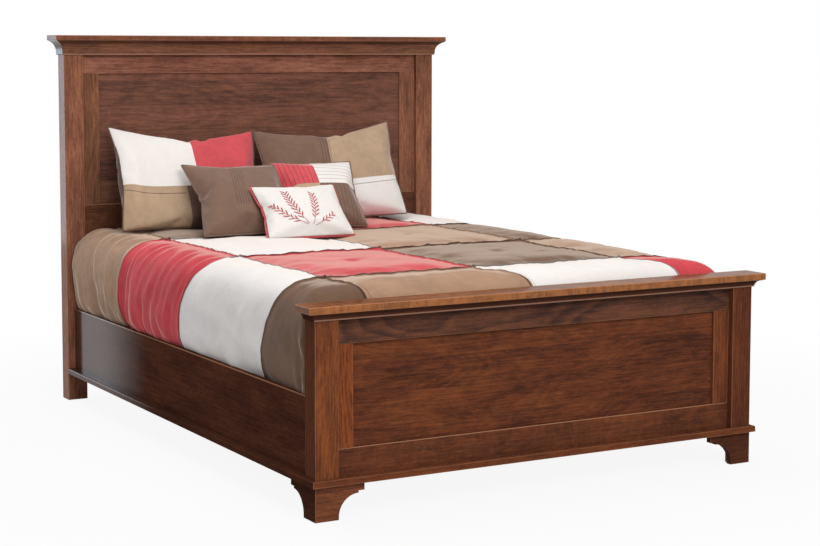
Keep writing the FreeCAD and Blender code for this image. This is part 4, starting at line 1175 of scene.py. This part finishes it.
def build_pillows():
    far = 5
    on_seam = (0, 0, 0)
    size = (0.620, 0.430, 0.146)
    seams = dict(columns=(0, -0.047, far), rows=(0, 0.171, 1), slant=(-0.04, 0.01), step=0.057)
    flap = ((1, 0.151, 0.02, 1, (-9, -0.047, 0, 0.171), 0.5),)
    build_pillow(
        "left_sham", "patchwork_sham_left",
        pillow_suede("left sham suede", size, table=((TAN, BROWN), (WHITE, RED)), tucks=flap, **seams),
        (0.0022, corded_suede("left sham cord", DARK_BROWN), on_seam),
        foot=(-380, 800, 705), tilt=(32, 0, 2.5), size=size,
        corners=((-0.318, -0.032), (0.302, -0.02), (0.314, 0.428), (-0.306, 0.430)),
        draw=(0.016, 0.02, 0.125, 0.004), slump=0.12, forward=0.065,
    )
    seams = dict(columns=(0, -0.072, far), rows=(0, 0.16, 1), slant=(0.12, 0.036))
    flap = ((1, 0.142, 0.02, 1, (-0.072, 9, 0, 1), 0.5), (0, -0.093, 0.012, 4, (-1, 1, 0.16, 1), 0.35))
    build_pillow(
        "right_sham", "patchwork_sham_right",
        pillow_suede("right sham suede", size, table=((BROWN, WHITE), (BROWN, TAN)), tucks=flap, **seams),
        (0.0022, corded_suede("right sham cord", BROWN), on_seam),
        foot=(309, 803, 703), tilt=(31, 0, -2), size=size,
        corners=((-0.340, -0.004), (0.255, -0.008), (0.299, 0.431), (-0.342, 0.420)),
        draw=(0.004, 0.018, 0.085, 0.004), slump=0.085,
    )
    size = (0.390, 0.395, 0.140)
    tucks = ((0, -0.059, 0.0105, 5, (-1, 1, 0.11, 1), 0.9),)
    build_pillow(
        "brown_pillow", "tucked_pillow",
        pillow_suede("tucked suede", size, (0, far), (0, 1), ((BROWN,),), (0.1, 0.0), tucks=tucks),
        (0.0035, corded_suede("tucked pillow cord", BROWN), on_seam),
        foot=(-288, 462, 690), tilt=(52.6, -5, 0), size=size,
        corners=((-0.203, -0.002), (0.185, -0.002), (0.190, 0.392), (-0.192, 0.405)),
        draw=(0.034, 0.014, 0.02, 0.004), slump=0.035,
    )
    size = (0.370, 0.375, 0.112)
    tucks = (
        (0, -0.162, 0.02, 8, (-1, -0.022, 0.2, 1), 0.8),
        (1, 0.226, 0.025, 6, (-0.022, 1, 0.2, 1), 0.8),
        (0, -0.002, 0.019, 12, (-0.022, 1, 0, 0.2), 0.9),
    )
    seams = dict(columns=(0, -0.022, far), rows=(0, 0.2, 1), slant=(0.02, 0.0))
    build_pillow(
        "pleated_pillow", "pleated_band_pillow",
        pillow_suede("pleated suede", size, table=((TAN, BROWN), (RED, WHITE)), tucks=tucks, **seams),
        (0.0028, corded_suede("pleated pillow cord", BROWN), on_seam),
        foot=(104, 560, 690), tilt=(50, -5, 0), size=size,
        corners=((-0.190, -0.002), (0.137, -0.002), (0.177, 0.368), (-0.175, 0.374)),
        draw=(0.018, 0.018, 0.014, 0.004), slump=0.03,
    )
    size = (0.340, 0.305, 0.100)
    pillow = build_pillow(
        "embroidered_pillow", "sprig_pillow",
        pillow_suede("embroidered linen", size, (0, far), (0, 1), ((WHITE,),), back=RED, weave=True),
        (0.0033, corded_suede("red cord", RED), (0, 0.006, -0.004)),
        foot=(-129, 262, 689), tilt=(56, -8, 0), size=size,
        corners=((-0.189, -0.003), (0.155, 0.004), (0.154, 0.312), (-0.184, 0.309)),
        draw=(0.02, 0.012, 0.012, 0.004), slump=0.03,
    )
    embroider(pillow, size, corded_suede("embroidery thread", tone("b93f4b")))


def build_bedding():
    ticking = woven_finish("woven ticking", "cfc8ba", "e2dccf", 1400.0)
    sheeting = woven_finish("percale sheet", "b9c6db", "cfd9e8")
    spring = padded_block("upholstered_box_spring", "box_spring", ticking, 0.045, 0.012, 0.0, 0.09)
    mattress = padded_block("upholstered_mattress", "mattress", sheeting, 0.11, 0.045, 0.006, 0.035)
    build_comforter()
    build_pillows()


build_bedding()


# ---------------------------------------------------------------- stage


# The fitted camera: its focal length in the photograph's pixels, and where it stands.
FOCAL_PIXELS, PHOTO_WIDTH = 1808.9, 820
CAMERA_PLACE = (-3.1515, -5.7635, 1.3892)


def seen_by_camera(tree):
    """One where the floor or the backdrop is looked at, also in a gloss or through glass."""
    path = add_node(tree, "LightPath").outputs
    return larger(tree, path["Is Camera Ray"], path["Is Glossy Ray"], path["Is Transmission Ray"])


def build_stage():
    mesh = bmesh.new()
    bmesh.ops.create_grid(mesh, x_segments=1, y_segments=1, size=60)
    floor = mesh_object("floor", mesh)
    material, tree, shader = new_material("studio floor", Roughness=0.9, Specular_IOR_Level=0.0)
    shader.inputs["Base Color"].default_value = (0.6, 0.6, 0.6, 1)
    reach = add_node(tree, "VectorMath", {0: on_object(tree)}, operation="LENGTH").outputs["Value"]
    share = times(tree, seen_by_camera(tree), between(tree, reach, 1.3, 3.2, 0.91, 1.0))
    glow = add_node(tree, "Emission", {"Color": (1, 1, 1, 1), "Strength": 1.0}).outputs[0]
    mixed = add_node(tree, "MixShader", {0: share, 1: shader.outputs[0], 2: glow})
    tree.links.new(mixed.outputs[0], tree.nodes["Material Output"].inputs["Surface"])
    floor.data.materials.append(material)

    world = bpy.data.worlds.new("studio")
    bpy.context.scene.world = world
    world.use_nodes = True
    tree = world.node_tree
    soft = tree.nodes["Background"]
    soft.inputs["Color"].default_value = (1.0, 0.985, 0.97, 1)
    soft.inputs["Strength"].default_value = 0.47
    white = add_node(tree, "Background", {"Color": (1, 1, 1, 1), "Strength": 1.0})
    mixed = add_node(tree, "MixShader", {0: seen_by_camera(tree), 1: soft.outputs[0], 2: white.outputs[0]})
    tree.links.new(mixed.outputs[0], tree.nodes["World Output"].inputs["Surface"])


def softbox(name, place, target, size, power, colour=(1, 1, 1)):
    light = bpy.data.lights.new(name, "AREA")
    light.shape = "RECTANGLE"
    light.size, light.size_y = size
    light.energy = power
    light.color = colour
    lamp = place_object(name, light)
    lamp.location = place
    lamp.rotation_euler = (Vector(target) - Vector(place)).to_track_quat("-Z", "Y").to_euler()
    lamp.visible_camera = False


def build_camera():
    data = bpy.data.cameras.new("camera")
    camera = place_object("camera", data)
    bpy.context.scene.camera = camera
    data.sensor_width = 36.0
    data.lens = data.sensor_width * FOCAL_PIXELS / PHOTO_WIDTH
    data.shift_x, data.shift_y = 0.008, -0.08
    yaw, pitch, roll = (math.radians(a) for a in (29.385, 5.006, 0.077))
    ahead = Vector((math.sin(yaw) * math.cos(pitch), math.cos(yaw) * math.cos(pitch), -math.sin(pitch)))
    level = Vector((math.cos(yaw), -math.sin(yaw), 0))
    above = level.cross(ahead)
    right = level * math.cos(roll) + above * math.sin(roll)
    up = right.cross(ahead)
    turned = Matrix((right, up, -ahead)).transposed().to_4x4()
    camera.matrix_world = Matrix.Translation(CAMERA_PLACE) @ turned


build_stage()
softbox("key", (-0.8, -5.4, 4.0), (0, -0.3, 0.5), (3.2, 2.4), 200, (1.0, 0.97, 0.94))
softbox("top", (-0.6, 0.4, 4.6), (0, 0, 0.6), (3.6, 3.6), 115)
softbox("window", (-2.6, 4.2, 1.3), (-0.9, 1.0, 0.6), (1.6, 2.2), 45, (0.72, 0.86, 1.0))
build_camera()
bpy.context.scene.view_settings.view_transform = "Standard"
